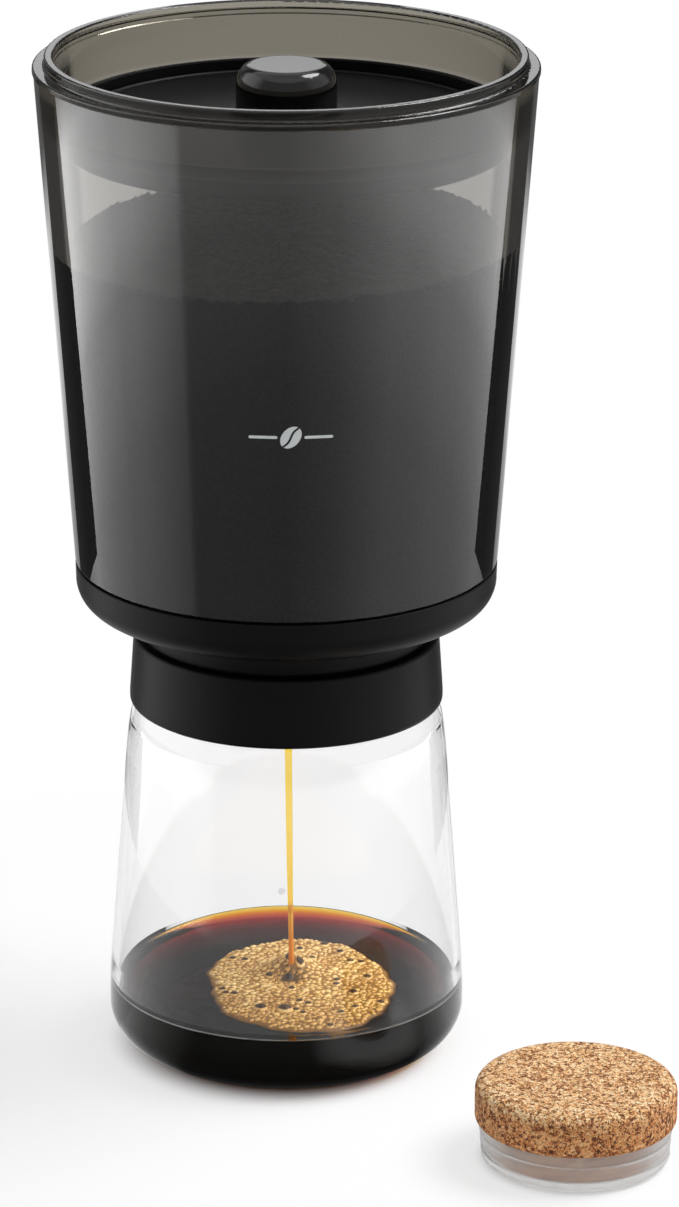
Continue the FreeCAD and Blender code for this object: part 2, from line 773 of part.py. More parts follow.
def filter_tab():
    """An upright tab with a finger hole, to pull the filter out by."""
    body = new_body("filter_tab")
    sketch = new_sketch(body, "tab_sketch", "XZ_Plane")
    shoulder = "frame_top + tab_height - tab_width / 2"
    draw(sketch, [
        ("-tab_width / 2", "frame_top"),
        ("tab_width / 2", "frame_top"),
        ("tab_width / 2", shoulder),
        ("0", "frame_top + tab_height", "tab_width / 2"),
        ("-tab_width / 2", shoulder, "tab_width / 2"),
    ])
    draw_circle(sketch, "0", shoulder, "tab_hole")
    pad(body, "tab", sketch, "tab_sheet", both_ways=True)
    return body


# ---------------------------------------------------------------- cover

def cover_dish():
    """The perforated dish that spreads the water, with a boss for the knob's screw."""
    body = turned("cover_dish", [
        ("counterbore", "dish_bottom"),
        ("dish_bottom_radius", "dish_bottom"),
        ("dish_side_radius", "dish_side", "dish_round"),
        ("dish_side_radius", "seal_groove_foot"),
        ("seal_groove_radius", "seal_groove_foot"),
        ("seal_groove_radius", "cover_height - dish_rim_step"),
        ("dish_rim_bore", "cover_height - dish_rim_step"),
        ("dish_rim_bore", "dish_well_side"),
        ("dish_well_radius", "dish_bottom + dish_floor", "-dish_round"),
        ("boss_radius", "dish_bottom + dish_floor"),
        ("boss_radius", "plate_foot"),
        ("clear_bore", "plate_foot"),
        ("clear_bore", "counterbore_top"),
        ("counterbore", "counterbore_top"),
    ])
    for circle in range(int(value("drip_circles"))):
        name = "drip_%d" % (circle + 1)
        sketch = new_sketch(body, name + "_sketch", "XY_Plane", "dish_bottom + dish_floor")
        draw_circle(sketch, "drip_first + drip_step * %d" % circle, "0", "drip_radius")
        hole = pocket(body, name, sketch, "dish_floor")
        around(body, name + "_circle", hole, "drip_holes + drip_more * %d" % circle)
    return body


def cover_seal():
    """The band round the cover's rim, which follows the container's taper."""
    return turned("cover_seal", [
        ("seal_groove_radius", "seal_groove_foot"),
        ("seal_foot_radius", "seal_groove_foot"),
        ("seal_top_radius", "cover_height - seam_edge"),
        ("seal_top_radius - seam_edge", "cover_height", "seam_edge"),
        ("seal_groove_radius", "cover_height"),
    ])


def cover_plate():
    """A slightly domed disc with a raised edge."""
    return turned("cover_plate", [
        ("clear_bore", "plate_foot"),
        ("plate_radius - plate_edge", "plate_foot"),
        ("plate_radius", "plate_foot + plate_edge"),
        ("plate_radius", "plate_edge_height - plate_edge"),
        ("plate_radius - plate_edge", "plate_edge_height", "plate_edge"),
        ("plate_radius - plate_lip", "plate_edge_height"),
        ("plate_radius - plate_lip - plate_edge", "plate_edge_height - plate_lip_drop"),
        ("ring_radius", "plate_crown", "plate_dome"),
        ("ring_foot_radius + ring_clearance", "plate_crown"),
        ("ring_foot_radius + ring_clearance", "plate_seat"),
        ("clear_bore", "plate_seat"),
    ])


def knob_ring():
    """The round boss between the plate and the knob."""
    return turned("knob_ring", [
        ("clear_bore", "plate_seat"),
        ("ring_foot_radius", "plate_seat"),
        ("ring_foot_radius", "plate_crown + ring_clearance"),
        ("ring_radius", "plate_crown + ring_clearance"),
        ("ring_radius", "cover_height - knob_edge"),
        ("ring_radius - knob_edge", "cover_height", "knob_edge"),
        ("clear_bore", "cover_height"),
    ])


def knob_shell():
    """A short round knob with a soft upper edge and a flat top."""
    reach = "(knob_side_round - knob_top_round)"
    across = "knob_radius - knob_side_round + knob_side_round * " \
             "(knob_top_radius - knob_radius + knob_side_round) / " + reach
    up = "knob_side + knob_side_round * (knob_height - knob_top_round - knob_side) / " + reach
    return turned("knob_shell", [
        ("knob_bore", "cover_height"),
        ("knob_radius - knob_edge", "cover_height"),
        ("knob_radius", "cover_height + knob_edge", "knob_edge"),
        ("knob_radius", "knob_side"),
        (across, up, "knob_side_round"),
        ("knob_top_radius", "knob_height", "knob_top_round"),
        ("0", "knob_height"),
        ("0", "knob_bore_top"),
        ("knob_bore", "knob_bore_top"),
    ])


def knob_screw():
    """The screw that holds dish, plate, ring and knob together."""
    head = cylinder("knob_screw_head", "knob_head_radius", "knob_head", "knob_head_foot")
    shank = cylinder("knob_screw_shank", "knob_screw_radius",
                     "knob_screw_top - knob_head_foot - knob_head", "knob_head_foot + knob_head")
    screw = doc.addObject("Part::Fuse", "knob_screw")
    screw.Label = "knob_screw"
    screw.Base = head
    screw.Tool = shank
    return screw


# ---------------------------------------------------------------- stopper

def beside_carafe(body):
    """Stand a sub-part on the stopper's own axis."""
    body.setExpression("Placement.Base.x", bound("stopper_across"))
    body.setExpression("Placement.Base.y", bound("-stopper_forward"))
    return body


def stopper_cork():
    """The cork head, with the core that fills the plug."""
    body = turned("stopper_cork", [
        ("0", "core_foot"),
        ("core_radius", "core_foot"),
        ("core_radius", "cork_foot"),
        ("cork_radius - cork_foot_round", "cork_foot"),
        ("cork_radius", "cork_foot + cork_foot_round", "cork_foot_round"),
        ("cork_radius", "cork_height - cork_top_round"),
        ("cork_radius - cork_top_round", "cork_height", "cork_top_round"),
        ("0", "cork_height"),
    ])
    return beside_carafe(body)


def stopper_plug():
    """The finned cup under the cork, with a small notch in its lower fin."""
    body = turned("stopper_plug", [
        ("0", "0"),
        ("plug_foot_radius - plug_chamfer", "0"),
        ("plug_foot_radius", "plug_chamfer"),
        ("plug_foot_radius", "fin_low_foot"),
        ("fin_low_radius - plug_chamfer", "fin_low_foot"),
        ("fin_low_radius", "fin_low_foot + plug_chamfer", "plug_chamfer"),
        ("fin_low_radius", "fin_low_top - plug_chamfer"),
        ("fin_low_radius - plug_chamfer", "fin_low_top", "plug_chamfer"),
        ("groove_low_radius", "fin_low_top"),
        ("groove_low_radius", "fin_high_foot"),
        ("fin_high_radius - plug_chamfer", "fin_high_foot"),
        ("fin_high_radius", "fin_high_foot + plug_chamfer", "plug_chamfer"),
        ("fin_high_radius", "fin_high_top - plug_chamfer"),
        ("fin_high_radius - plug_chamfer", "fin_high_top", "plug_chamfer"),
        ("groove_high_radius", "fin_high_top"),
        ("groove_high_radius", "flange_foot"),
        ("flange_radius - plug_chamfer", "flange_foot"),
        ("flange_radius", "flange_foot + plug_chamfer", "plug_chamfer"),
        ("flange_radius", "cork_foot"),
        ("plug_bore", "cork_foot"),
        ("plug_bore", "plug_floor"),
        ("0", "plug_floor"),
    ])
    sketch = new_sketch(body, "notch_sketch", "XZ_Plane", "fin_low_radius + notch_overrun")
    draw(sketch, [
        ("-notch_width / 2", "fin_low_foot"),
        ("notch_width / 2", "fin_low_foot"),
        ("0", "fin_low_foot + notch_height"),
    ])
    pocket(body, "notch", sketch, "fin_low_radius + notch_overrun - groove_low_radius")
    return beside_carafe(body)


# ---------------------------------------------------------------- assembly

def check(parts):
    """Stop at any failed object and at any sub-part without a sound solid."""
    for item in doc.Objects:
        if "Invalid" in item.State or "Error" in item.State:
            raise RuntimeError("%s failed: %s" % (item.Name, item.State))
    for part in parts:
        shape = part.Shape
        if shape.isNull() or not shape.isValid() or not shape.Solids:
            raise RuntimeError(part.Label + " has no sound solid")


def main():
    """Build every sub-part and write one STEP file for each."""
    makers = [
        carafe_glass, container_shell, drain_base, neck_collar, shell_gasket, drain_floor,
        drain_spout, neck_guide, floor_screws, valve_foot, valve_stem, valve_seal, valve_clip,
        valve_spring, filter_frame, filter_mesh, filter_gasket, filter_tab, cover_dish, cover_seal,
        cover_plate, knob_ring, knob_shell, knob_screw, stopper_cork, stopper_plug,
    ]
    parts = [maker() for maker in makers]
    doc.recompute()
    check(parts)
    os.makedirs("parts", exist_ok=True)
    for part in parts:
        part.Shape.exportStep("parts/%s.step" % part.Label)
        box = part.Shape.BoundBox
        print("%-16s %9.0f mm3  z %7.2f to %7.2f  radius %6.2f"
              % (part.Label, part.Shape.Volume, box.ZMin, box.ZMax, box.XLength / 2))


main()
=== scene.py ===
"""Cold brew coffee maker: finishes of the CAD parts, coffee, printed marks and studio.

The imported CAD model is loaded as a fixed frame, in metres, +Z up, with the origin at the centre
of the carafe's foot.  Each operator dresses or builds one group of pieces.
"""
import math
import random

import bmesh
import bpy
import numpy as np
from mathutils import Matrix, Vector, noise
from mathutils.bvhtree import BVHTree


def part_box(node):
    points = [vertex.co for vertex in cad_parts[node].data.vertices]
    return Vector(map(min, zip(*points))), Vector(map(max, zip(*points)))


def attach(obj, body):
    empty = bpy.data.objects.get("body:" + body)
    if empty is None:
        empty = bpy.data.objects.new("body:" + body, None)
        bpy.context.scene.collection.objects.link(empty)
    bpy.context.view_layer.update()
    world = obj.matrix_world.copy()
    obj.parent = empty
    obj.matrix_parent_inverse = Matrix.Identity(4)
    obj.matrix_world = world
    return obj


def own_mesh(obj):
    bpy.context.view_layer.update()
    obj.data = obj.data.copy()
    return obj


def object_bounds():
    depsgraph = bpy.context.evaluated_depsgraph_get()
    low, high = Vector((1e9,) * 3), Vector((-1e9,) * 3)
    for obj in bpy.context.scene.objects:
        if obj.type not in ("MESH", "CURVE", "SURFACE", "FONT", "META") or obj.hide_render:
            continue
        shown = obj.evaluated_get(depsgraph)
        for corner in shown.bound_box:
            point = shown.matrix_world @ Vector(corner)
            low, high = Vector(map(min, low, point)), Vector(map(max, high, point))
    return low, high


bl_info = {
    "name": "Cold Brew Coffee Maker",
    "version": (1, 0, 0),
    "blender": (4, 5, 0),
    "location": "3D View > Sidebar > Brewer",
    "description": "Finishes, contents and studio of a cold brew coffee maker",
    "category": "Object",
}

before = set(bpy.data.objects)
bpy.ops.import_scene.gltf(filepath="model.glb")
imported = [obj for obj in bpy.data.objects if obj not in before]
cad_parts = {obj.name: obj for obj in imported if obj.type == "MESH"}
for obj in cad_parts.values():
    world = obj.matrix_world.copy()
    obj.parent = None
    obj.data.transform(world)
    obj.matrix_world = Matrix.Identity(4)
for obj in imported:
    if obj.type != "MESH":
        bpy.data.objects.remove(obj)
CAD_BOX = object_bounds()
MM = 0.001


# ---------------- colours and nodes

def linear(hex_text):
    """An sRGB hex colour as linear red, green and blue."""
    channels = [int(hex_text[i:i + 2], 16) / 255 for i in (1, 3, 5)]
    return tuple(c / 12.92 if c <= 0.04045 else ((c + 0.055) / 1.055) ** 2.4 for c in channels)


def grey(level):
    """A grey as linear red, green and blue."""
    return (level, level, level)


def add(tree, kind, inputs=None, **settings):
    """Add a node with its settings; an input is a constant or the socket that feeds it."""
    node = tree.nodes.new(kind)
    for name, setting in settings.items():
        setattr(node, name, setting)
    for name, given in (inputs or {}).items():
        socket = node.inputs[name]
        if isinstance(given, bpy.types.NodeSocket):
            tree.links.new(given, socket)
        elif socket.type == "RGBA" and len(given) == 3:
            socket.default_value = (*given, 1.0)
        else:
            socket.default_value = given
    return node


def new_material(name):
    """An empty material with its node tree and output node."""
    material = bpy.data.materials.new(name)
    material.use_nodes = True
    tree = material.node_tree
    tree.nodes.clear()
    return material, tree, add(tree, "ShaderNodeOutputMaterial")


def surface(tree, output, inputs, volume=None):
    """A Principled surface on the output, with an absorbing volume where one is given as
    (tint, density)."""
    shader = add(tree, "ShaderNodeBsdfPrincipled", inputs).outputs["BSDF"]
    tree.links.new(shader, output.inputs["Surface"])
    if volume is not None:
        inside = add(tree, "ShaderNodeVolumeAbsorption",
                     {"Color": volume[0], "Density": volume[1]})
        tree.links.new(inside.outputs["Volume"], output.inputs["Volume"])
    return shader


def mixed_shader(tree, share, first, second):
    """Two shaders, with this share of the second."""
    return add(tree, "ShaderNodeMixShader", {0: share, 1: first, 2: second}).outputs["Shader"]


def open_surface(tree, output, shader, share):
    """Let light pass this share of a surface as if it weren't there."""
    clear = add(tree, "ShaderNodeBsdfTransparent").outputs["BSDF"]
    tree.links.new(mixed_shader(tree, share, shader, clear), output.inputs["Surface"])


def position(tree):
    """The object's own coordinates, in metres."""
    return add(tree, "ShaderNodeTexCoord").outputs["Object"]


def upright(tree, vector):
    """The Z of a vector."""
    return add(tree, "ShaderNodeSeparateXYZ", {"Vector": vector}).outputs["Z"]


def facing_up(tree):
    """1 where the surface looks up and 0 where it stands upright."""
    return upright(tree, add(tree, "ShaderNodeNewGeometry").outputs["True Normal"])


def distance(tree, point=(0.0, 0.0, 0.0)):
    """Distance from a point, in metres."""
    return add(tree, "ShaderNodeVectorMath", {0: position(tree), 1: point},
               operation="DISTANCE").outputs["Value"]


def maths(tree, operation, first, second):
    """One step of arithmetic between sockets or numbers."""
    return add(tree, "ShaderNodeMath", {0: first, 1: second}, operation=operation).outputs[0]


def span(tree, value, low, high, to_low=0.0, to_high=1.0, kind="LINEAR"):
    """A value between two bounds, brought between two others."""
    inputs = {"Value": value, "From Min": low, "From Max": high, "To Min": to_low,
              "To Max": to_high}
    return add(tree, "ShaderNodeMapRange", inputs, interpolation_type=kind).outputs["Result"]


def per_metre(size_mm):
    """A texture scale that gives a pattern of this size."""
    return 1.0 / (size_mm * MM)


def speckle(tree, size_mm, detail=2.0, roughness=0.5, output="Fac"):
    """Soft noise of this size."""
    return add(tree, "ShaderNodeTexNoise",
               {"Vector": position(tree), "Scale": per_metre(size_mm), "Detail": detail,
                "Roughness": roughness}).outputs[output]


def cells(tree, place, size_mm, feature="F1"):
    """Cells of this size, as grains are packed."""
    return add(tree, "ShaderNodeTexVoronoi", {"Vector": place, "Scale": per_metre(size_mm)},
               feature=feature).outputs


def waves(tree, length_mm, **settings):
    """Even waves of this length; the texture's own are a tenth of pi long."""
    return add(tree, "ShaderNodeTexWave",
               {"Vector": position(tree), "Scale": per_metre(length_mm) * math.pi / 10},
               **settings).outputs["Fac"]


def attribute(tree, name):
    """A number that the mesh carries."""
    return add(tree, "ShaderNodeAttribute", attribute_name=name).outputs["Fac"]


def channel(tree, colour, name):
    """One channel of a colour."""
    return add(tree, "ShaderNodeSeparateColor", {"Color": colour}).outputs[name]


def ramp(tree, factor, stops):
    """A colour ramp through (place, colour) stops."""
    node = add(tree, "ShaderNodeValToRGB", {"Fac": factor})
    elements = node.color_ramp.elements
    while len(elements) < len(stops):
        elements.new(0.5)
    for element, (place, tone) in zip(elements, stops):
        element.position = place
        element.color = (*(linear(tone) if isinstance(tone, str) else tone), 1.0)
    return node.outputs["Color"]


def mixed_colour(tree, factor, a, b, blend):
    """Two colours blended by this share."""
    return add(tree, "ShaderNodeMix", {0: factor, 6: a, 7: b}, data_type="RGBA",
               blend_type=blend).outputs[2]


def multiplied(tree, colour, layer, share=1.0):
    """A colour darkened by this share of a layer."""
    return mixed_colour(tree, share, colour, layer, "MULTIPLY")


def bump(tree, height, depth_mm, strength=1.0):
    """A bump whose full height is this many millimetres."""
    return add(tree, "ShaderNodeBump", {"Height": height, "Distance": depth_mm * MM,
                                        "Strength": strength}).outputs["Normal"]


# ---------------- sizes and colours

def length(name, description, size_mm):
    """A length that the panel shows."""
    return bpy.props.FloatProperty(name=name, description=description, default=size_mm * MM,
                                   subtype="DISTANCE", unit="LENGTH")


def colour(name, description, hex_text):
    """A colour that the panel shows, as linear light."""
    return bpy.props.FloatVectorProperty(name=name, description=description,
                                         default=linear(hex_text), subtype="COLOR", min=0.0,
                                         max=1.0)


class BrewerSizes(bpy.types.PropertyGroup):
    """Sizes of what Blender adds to the CAD parts."""
    coffee_level: length("Coffee level", "Height of the brewed coffee's surface", 20.0)
    meniscus: length("Meniscus", "How far the coffee climbs up the glass", 2.7)
    foam_radius: length("Foam radius", "Mean radius of the patch of foam", 32.0)
    foam_height: length("Foam height", "Height of the foam between its bubbles", 0.7)
    stream_radius: length(
        "Stream radius", "Radius of the stream where it leaves the nozzle", 1.45)
    grounds_height: length("Grounds height", "Mean height of the ground coffee's top", 259.0)
    mark_height: length("Mark height", "Height of the printed fill mark", 216.6)
    shell_wall: length("Container wall", "Wall thickness that the smoke tint is matched to", 5.8)
    shell_pass: bpy.props.FloatProperty(
        name="Container clearness", description="Share of light that one wall lets through",
        default=0.5, min=0.01, max=0.99, subtype="FACTOR")


class BrewerColours(bpy.types.PropertyGroup):
    """Colours of the finishes."""
    black: colour("Black ABS", "Colour of the moulded black parts", "#09090a")
    knob: colour("Polished black", "Colour of the knob", "#070708")
    cork_light: colour("Light cork", "Colour of the light cork grains", "#ffd092")
    cork_mid: colour("Cork", "Colour of the common cork grains", "#e8a666")
    cork_dark: colour("Dark cork", "Colour of the bark specks between the grains", "#6e3d1c")
    silicone: colour("Silicone", "Colour of the clear silicone", "#fbfaf9")
    foam_light: colour("Light foam", "Colour of the foam's bubbles", "#ffe4a4")
    foam_dark: colour("Dark foam", "Colour of the foam between its bubbles", "#7d5722")
    grounds: colour("Ground coffee", "Colour of the ground coffee", "#252323")
    print_ink: colour("Print", "Colour of the printed marks", "#e3e8e9")


def sizes():
    """The sizes that the panel shows."""
    return bpy.context.scene.brewer_sizes


def colours():
    """The colours that the panel shows."""
    return bpy.context.scene.brewer_colours


# ---------------- meshes

WALLS = {}                     # a search tree of each CAD node that a ray has been sent to
BORE_ANGLE = 0.3               # direction of the rays from the axis, clear of the mesh's seam
FRONT_ANGLE = -math.pi / 2


def wall_radius(node, start, away):
    """Radius at which a ray meets a CAD node."""
    if node not in WALLS:
        WALLS[node] = BVHTree.FromObject(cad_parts[node],
                                         bpy.context.evaluated_depsgraph_get())
    place = WALLS[node].ray_cast(start, away)[0]
    if place is None:
        raise RuntimeError("%s has no wall at %.4f m" % (node, start.z))
    return place.xy.length


def bore(node, height):
    """Inner radius of a CAD node at a height, met from the axis."""
    away = Vector((math.cos(BORE_ANGLE), math.sin(BORE_ANGLE), 0.0))
    return wall_radius(node, Vector((0.0, 0.0, height)), away)


def outer(node, height):
    """Outer radius of a CAD node at a height, met from the front."""
    away = Vector((math.cos(FRONT_ANGLE), math.sin(FRONT_ANGLE), 0.0))
    start = away * (CAD_BOX[1] - CAD_BOX[0]).length + Vector((0.0, 0.0, height))
    return wall_radius(node, start, -away)


def placed(name, data):
    """A new object in the scene."""
    thing = bpy.data.objects.new(name, data)
    bpy.context.scene.collection.objects.link(thing)
    return thing


def new_object(name, points, faces, material, body, flat=False):
    """A mesh object that rides on a CAD body; a flat one is cut into triangles."""
    mesh = bpy.data.meshes.new(name)
    mesh.from_pydata([tuple(point) for point in points], [], faces)
    mesh.update()
    shape = bmesh.new()
    shape.from_mesh(mesh)
    bmesh.ops.recalc_face_normals(shape, faces=shape.faces)
    if flat:
        bmesh.ops.triangulate(shape, faces=shape.faces)
    shape.to_mesh(mesh)
    shape.free()
    if not flat:
        mesh.shade_smooth()
    mesh.materials.append(material)
    piece = placed(name, mesh)
    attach(piece, body)
    return piece


def circle(radius, height, segments, middle=(0.0, 0.0)):
    """Points evenly round a level circle."""
    angles = [2 * math.pi * step / segments for step in range(segments)]
    return [(middle[0] + radius * math.cos(angle), middle[1] + radius * math.sin(angle), height)
            for angle in angles]


def lathe(outline, segments):
    """Points and faces of an outline of (radius, height) turned round the axis.  An outline that
    starts and ends on the axis closes to a solid."""
    points, rings = [], []
    for radius, height in outline:
        ring = [(0.0, 0.0, height)] if radius < 1e-9 else circle(radius, height, segments)
        rings.append(range(len(points), len(points) + len(ring)))
        points += ring
    faces = []
    for low, high in zip(rings, rings[1:]):
        for step in range(segments):
            after = (step + 1) % segments
            ends = [low[step % len(low)], low[after % len(low)],
                    high[after % len(high)], high[step % len(high)]]
            faces.append(tuple(dict.fromkeys(ends)))
    return points, faces


def dress(material, *nodes):
    """Give CAD nodes one material."""
    for name in nodes:
        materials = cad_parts[name].data.materials
        materials.clear()
        materials.append(material)


# ---------------- materials

FOOT_BEND = (36.5 * MM, 15.0 * MM)     # centre of the bend in the middle of the foot's glass
FOOT_REACH = (17.1 * MM, 13.4 * MM)    # the bend's size across and up
GLASS_IOR, COFFEE_IOR = 1.47, 1.335


def wetted(tree):
    """1 on the inside of the glass below the coffee's edge, 0 elsewhere."""
    place = position(tree)
    height = upright(tree, place)
    flat = add(tree, "ShaderNodeVectorMath", {0: place, 1: (1.0, 1.0, 0.0)}, operation="MULTIPLY")
    radius = add(tree, "ShaderNodeVectorMath", {0: flat.outputs["Vector"]}, operation="LENGTH")
    away = (maths(tree, "SUBTRACT", radius.outputs["Value"], FOOT_BEND[0]),
            maths(tree, "SUBTRACT", FOOT_BEND[1], height))
    across, down = (
        maths(tree, "POWER", maths(tree, "DIVIDE", maths(tree, "MAXIMUM", off, 0.0), reach), 2.0)
        for off, reach in zip(away, FOOT_REACH))
    inside = maths(tree, "LESS_THAN", maths(tree, "ADD", across, down), 1.0)
    edge = sizes().coffee_level + sizes().meniscus
    return maths(tree, "MULTIPLY", inside, maths(tree, "LESS_THAN", height, edge))


def borosilicate_glass():
    """Blown borosilicate glass: clear, fire-polished, grey only where the eye looks along the
    wall.  Where coffee wets it there is hardly any reflection, because the liquid bends light
    almost as much.  Shadow rays pass, as light does through real glass."""
    material, tree, output = new_material("borosilicate_glass")
    bend = span(tree, wetted(tree), 0.0, 1.0, GLASS_IOR, GLASS_IOR / COFFEE_IOR)
    shader = surface(tree, output, {"Base Color": grey(1.0), "Roughness": 0.0, "IOR": bend,
                                    "Transmission Weight": 1.0}, volume=(grey(0.0), 13.0))
    open_surface(tree, output, shader,
                 add(tree, "ShaderNodeLightPath").outputs["Is Shadow Ray"])
    return material


def smoke_copolyester():
    """Moulded copolyester with a smoke tint: a glossy wall that gets darker with its thickness.
    Where the eye looks along it, the wall is painted nearly black, as painted shade beyond what
    the tint absorbs.  Above the cover it is tinted darker, as painted shade inside the mouth."""
    material, tree, output = new_material("smoke_copolyester")
    density = -math.log(sizes().shell_pass) / (sizes().shell_wall * 1.05)
    height = upright(tree, position(tree))
    cover_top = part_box("cover_seal")[1].z
    above = span(tree, height, cover_top - 4 * MM, cover_top)
    # Painted shade: the wall above the cover is tinted darker, for the shade inside the mouth.
    mouth_painted_shade = ramp(tree, above, [(0.0, grey(1.0)), (1.0, "#a9a59a")])
    # Painted shade: the wall is painted nearly black where the eye looks along it, beyond what the
    # tint absorbs, except just below the lip.
    facing = add(tree, "ShaderNodeLayerWeight", {"Blend": 0.5}).outputs["Facing"]
    along = ramp(tree, facing, [(0.6, grey(1.0)), (0.65, grey(0.04))])
    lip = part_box("container_shell")[1].z
    along = mixed_colour(tree, span(tree, height, lip - 9 * MM, lip - 5 * MM), along,
                         grey(1.0), "MIX")
    surface(tree, output, {"Base Color": multiplied(tree, mouth_painted_shade, along),
                           "Roughness": 0.0, "IOR": 1.57, "Transmission Weight": 1.0},
            volume=((0.10, 0.06, 0.0), density))
    return material


def moulded(name, grain_mm, inputs, detail=2.0, relief=None, tones=None):
    """A finish with a fine noise, which gives it relief, as (depth in mm, strength), or makes it
    drift between tones."""
    material, tree, output = new_material(name)
    grain = speckle(tree, grain_mm, detail)
    if relief:
        inputs["Normal"] = bump(tree, grain, *relief)
    if tones:
        inputs["Base Color"] = ramp(tree, grain, tones)
    surface(tree, output, inputs)
    return material


def satin_abs():
    """Injection-moulded ABS with a fine spark texture: a black satin.  Such a grain is about
    0.1 mm; it is drawn at 0.5 mm so that it shows."""
    return moulded("satin_abs", 0.5, {"Base Color": colours().black, "Roughness": 0.42,
                                      "IOR": 1.5, "Specular IOR Level": 0.12},
                   relief=(0.01, 0.1))


def polished_abs():
    """ABS from a polished mould: near black, with sharp reflections."""
    return moulded("polished_abs", 6.0, {"Base Color": colours().knob, "Roughness": 0.1,
                                         "IOR": 1.53}, detail=1.0, relief=(0.01, 0.2))


def grey_silicone():
    """Moulded silicone rubber: soft and matt, with a slight haze."""
    return moulded("grey_silicone", 3.0, {"Roughness": 0.6, "IOR": 1.41},
                   tones=((0.3, "#4a4b4c"), (0.7, "#5a5b5c")))


def black_rubber():
    """Moulded black rubber: matt, with a faint bloom."""
    return moulded("black_rubber", 2.0, {"Roughness": 0.5, "IOR": 1.52},
                   tones=((0.3, "#101010"), (0.8, "#1b1b1b")))


def clear_silicone():
    """Moulded translucent silicone: milky, with soft edges that gather light."""
    return moulded("clear_silicone", 2.5, {"Base Color": colours().silicone, "Roughness": 0.34,
                                           "IOR": 1.41, "Transmission Weight": 0.85},
                   relief=(0.05, 0.4))


def printed_ink():
    """Pad-printed ink: a thin flat film, slightly rough."""
    return moulded("printed_ink", 0.4, {"Base Color": colours().print_ink, "Roughness": 0.45},
                   relief=(0.01, 0.3))


def etched_glass():
    """A spot of etched glass: clear with a grey haze."""
    return moulded("etched_glass", 0.4, {"Base Color": linear("#f2f2f8"), "Roughness": 0.3,
                                         "IOR": 1.1, "Transmission Weight": 0.85},
                   relief=(0.02, 1.0))


def turned_steel():
    """Stainless steel turned on a lathe: rings round the axis.  Turning marks are finer; they
    are drawn 0.6 mm apart so that they show."""
    material, tree, output = new_material("turned_steel")
    rings = waves(tree, 0.5922, wave_type="RINGS", rings_direction="Z")
    surface(tree, output, {"Base Color": linear("#c9c9c6"), "Metallic": 1.0, "Roughness": 0.3,
                           "Normal": bump(tree, rings, 0.01, 0.5)})
    return material


def woven_steel():
    """Woven stainless mesh: crossed wires.  Such a mesh has a pitch of about 0.2 mm; it is drawn
    at 0.57 mm so that it shows."""
    material, tree, output = new_material("woven_steel")
    wires = maths(tree, "MAXIMUM", *(waves(tree, 0.5655, bands_direction=way) for way in "XY"))
    tone = ramp(tree, wires, [(0.35, "#161514"), (0.75, "#b9b8b4")])
    surface(tree, output, {"Base Color": tone, "Metallic": 1.0, "Roughness": 0.35,
                           "Normal": bump(tree, wires, 0.2)})
    return material


def agglomerated_cork():
    """Agglomerated cork: pressed grains of 0.5 to 1.5 mm, light and brown, with dark bark specks
    and small pits between them, which are painted dark as shade.  The moulded side is painted a
    little darker than the sanded top, as painted shade."""
    material, tree, output = new_material("agglomerated_cork")
    shift = add(tree, "ShaderNodeVectorMath",
                {0: speckle(tree, 1.6, 3.0, output="Color"), "Scale": 0.8 * MM},
                operation="SCALE").outputs["Vector"]
    shifted = add(tree, "ShaderNodeVectorMath", {0: position(tree), 1: shift},
                  operation="ADD").outputs["Vector"]
    grains, fine = (cells(tree, shifted, size) for size in (1.15, 0.5))
    kind = add(tree, "ShaderNodeMix", {"Factor": 0.5, "A": channel(tree, grains["Color"], "Red"),
                                       "B": channel(tree, fine["Color"], "Green")})
    tone = ramp(tree, kind.outputs["Result"], [
        (0.22, colours().cork_dark), (0.32, "#a8672f"), (0.42, colours().cork_mid),
        (0.6, colours().cork_light), (0.76, "#ffe6ba")])
    seams = cells(tree, shifted, 1.15, "DISTANCE_TO_EDGE")["Distance"]
    pits = speckle(tree, 0.9, 4.0, 0.65)
    for share, factor, stops in (
            (0.6, seams, [(0.0, "#8a5a34"), (0.1, grey(1.0))]),
            # Painted shade in the pits.
            (0.85, pits, [(0.38, "#4a2812"), (0.43, grey(1.0))]),
            # Painted shade on the side, where the surface stands upright.
            (1.0, facing_up(tree), [(0.0, "#ecd0b4"), (0.75, grey(1.0))])):
        tone = multiplied(tree, tone, ramp(tree, factor, stops), share)
    relief = maths(tree, "ADD", fine["Distance"], pits)
    surface(tree, output, {"Base Color": tone, "Roughness": 0.85,
                           "Normal": bump(tree, relief, 0.3)})
    return material


def brewed_coffee_liquid():
    """Cold brew: clear water with brown solubles, amber in a thin layer and black in depth.
    The side that wets the glass has no surface of its own."""
    material, tree, output = new_material("brewed_coffee_liquid")
    shader = surface(tree, output, {"Base Color": grey(1.0), "Roughness": 0.0,
                                    "IOR": COFFEE_IOR, "Transmission Weight": 1.0},
                     volume=((0.955, 0.80, 0.0), 4200.0))
    open_surface(tree, output, shader, attribute(tree, "against_glass"))
    return material


def falling_coffee():
    """The same coffee as a thread 1.5 to 3 mm thick: clear and golden, and cloudy orange near
    the foam.  It bends light less than water does, so that it stays bright against white."""
    material, tree, output = new_material("falling_coffee")
    low = sizes().coffee_level
    along = span(tree, upright(tree, position(tree)), low, low + 50 * MM)
    tone = ramp(tree, along, [(0.2, "#ff9a10"), (0.5, "#ffcf48"), (1.0, "#ffdc60")])
    clear = ramp(tree, along, [(0.4, grey(0.2)), (0.5, grey(1.0))])
    surface(tree, output, {"Base Color": tone, "Roughness": 0.05, "IOR": 1.04,
                           "Transmission Weight": clear})
    return material


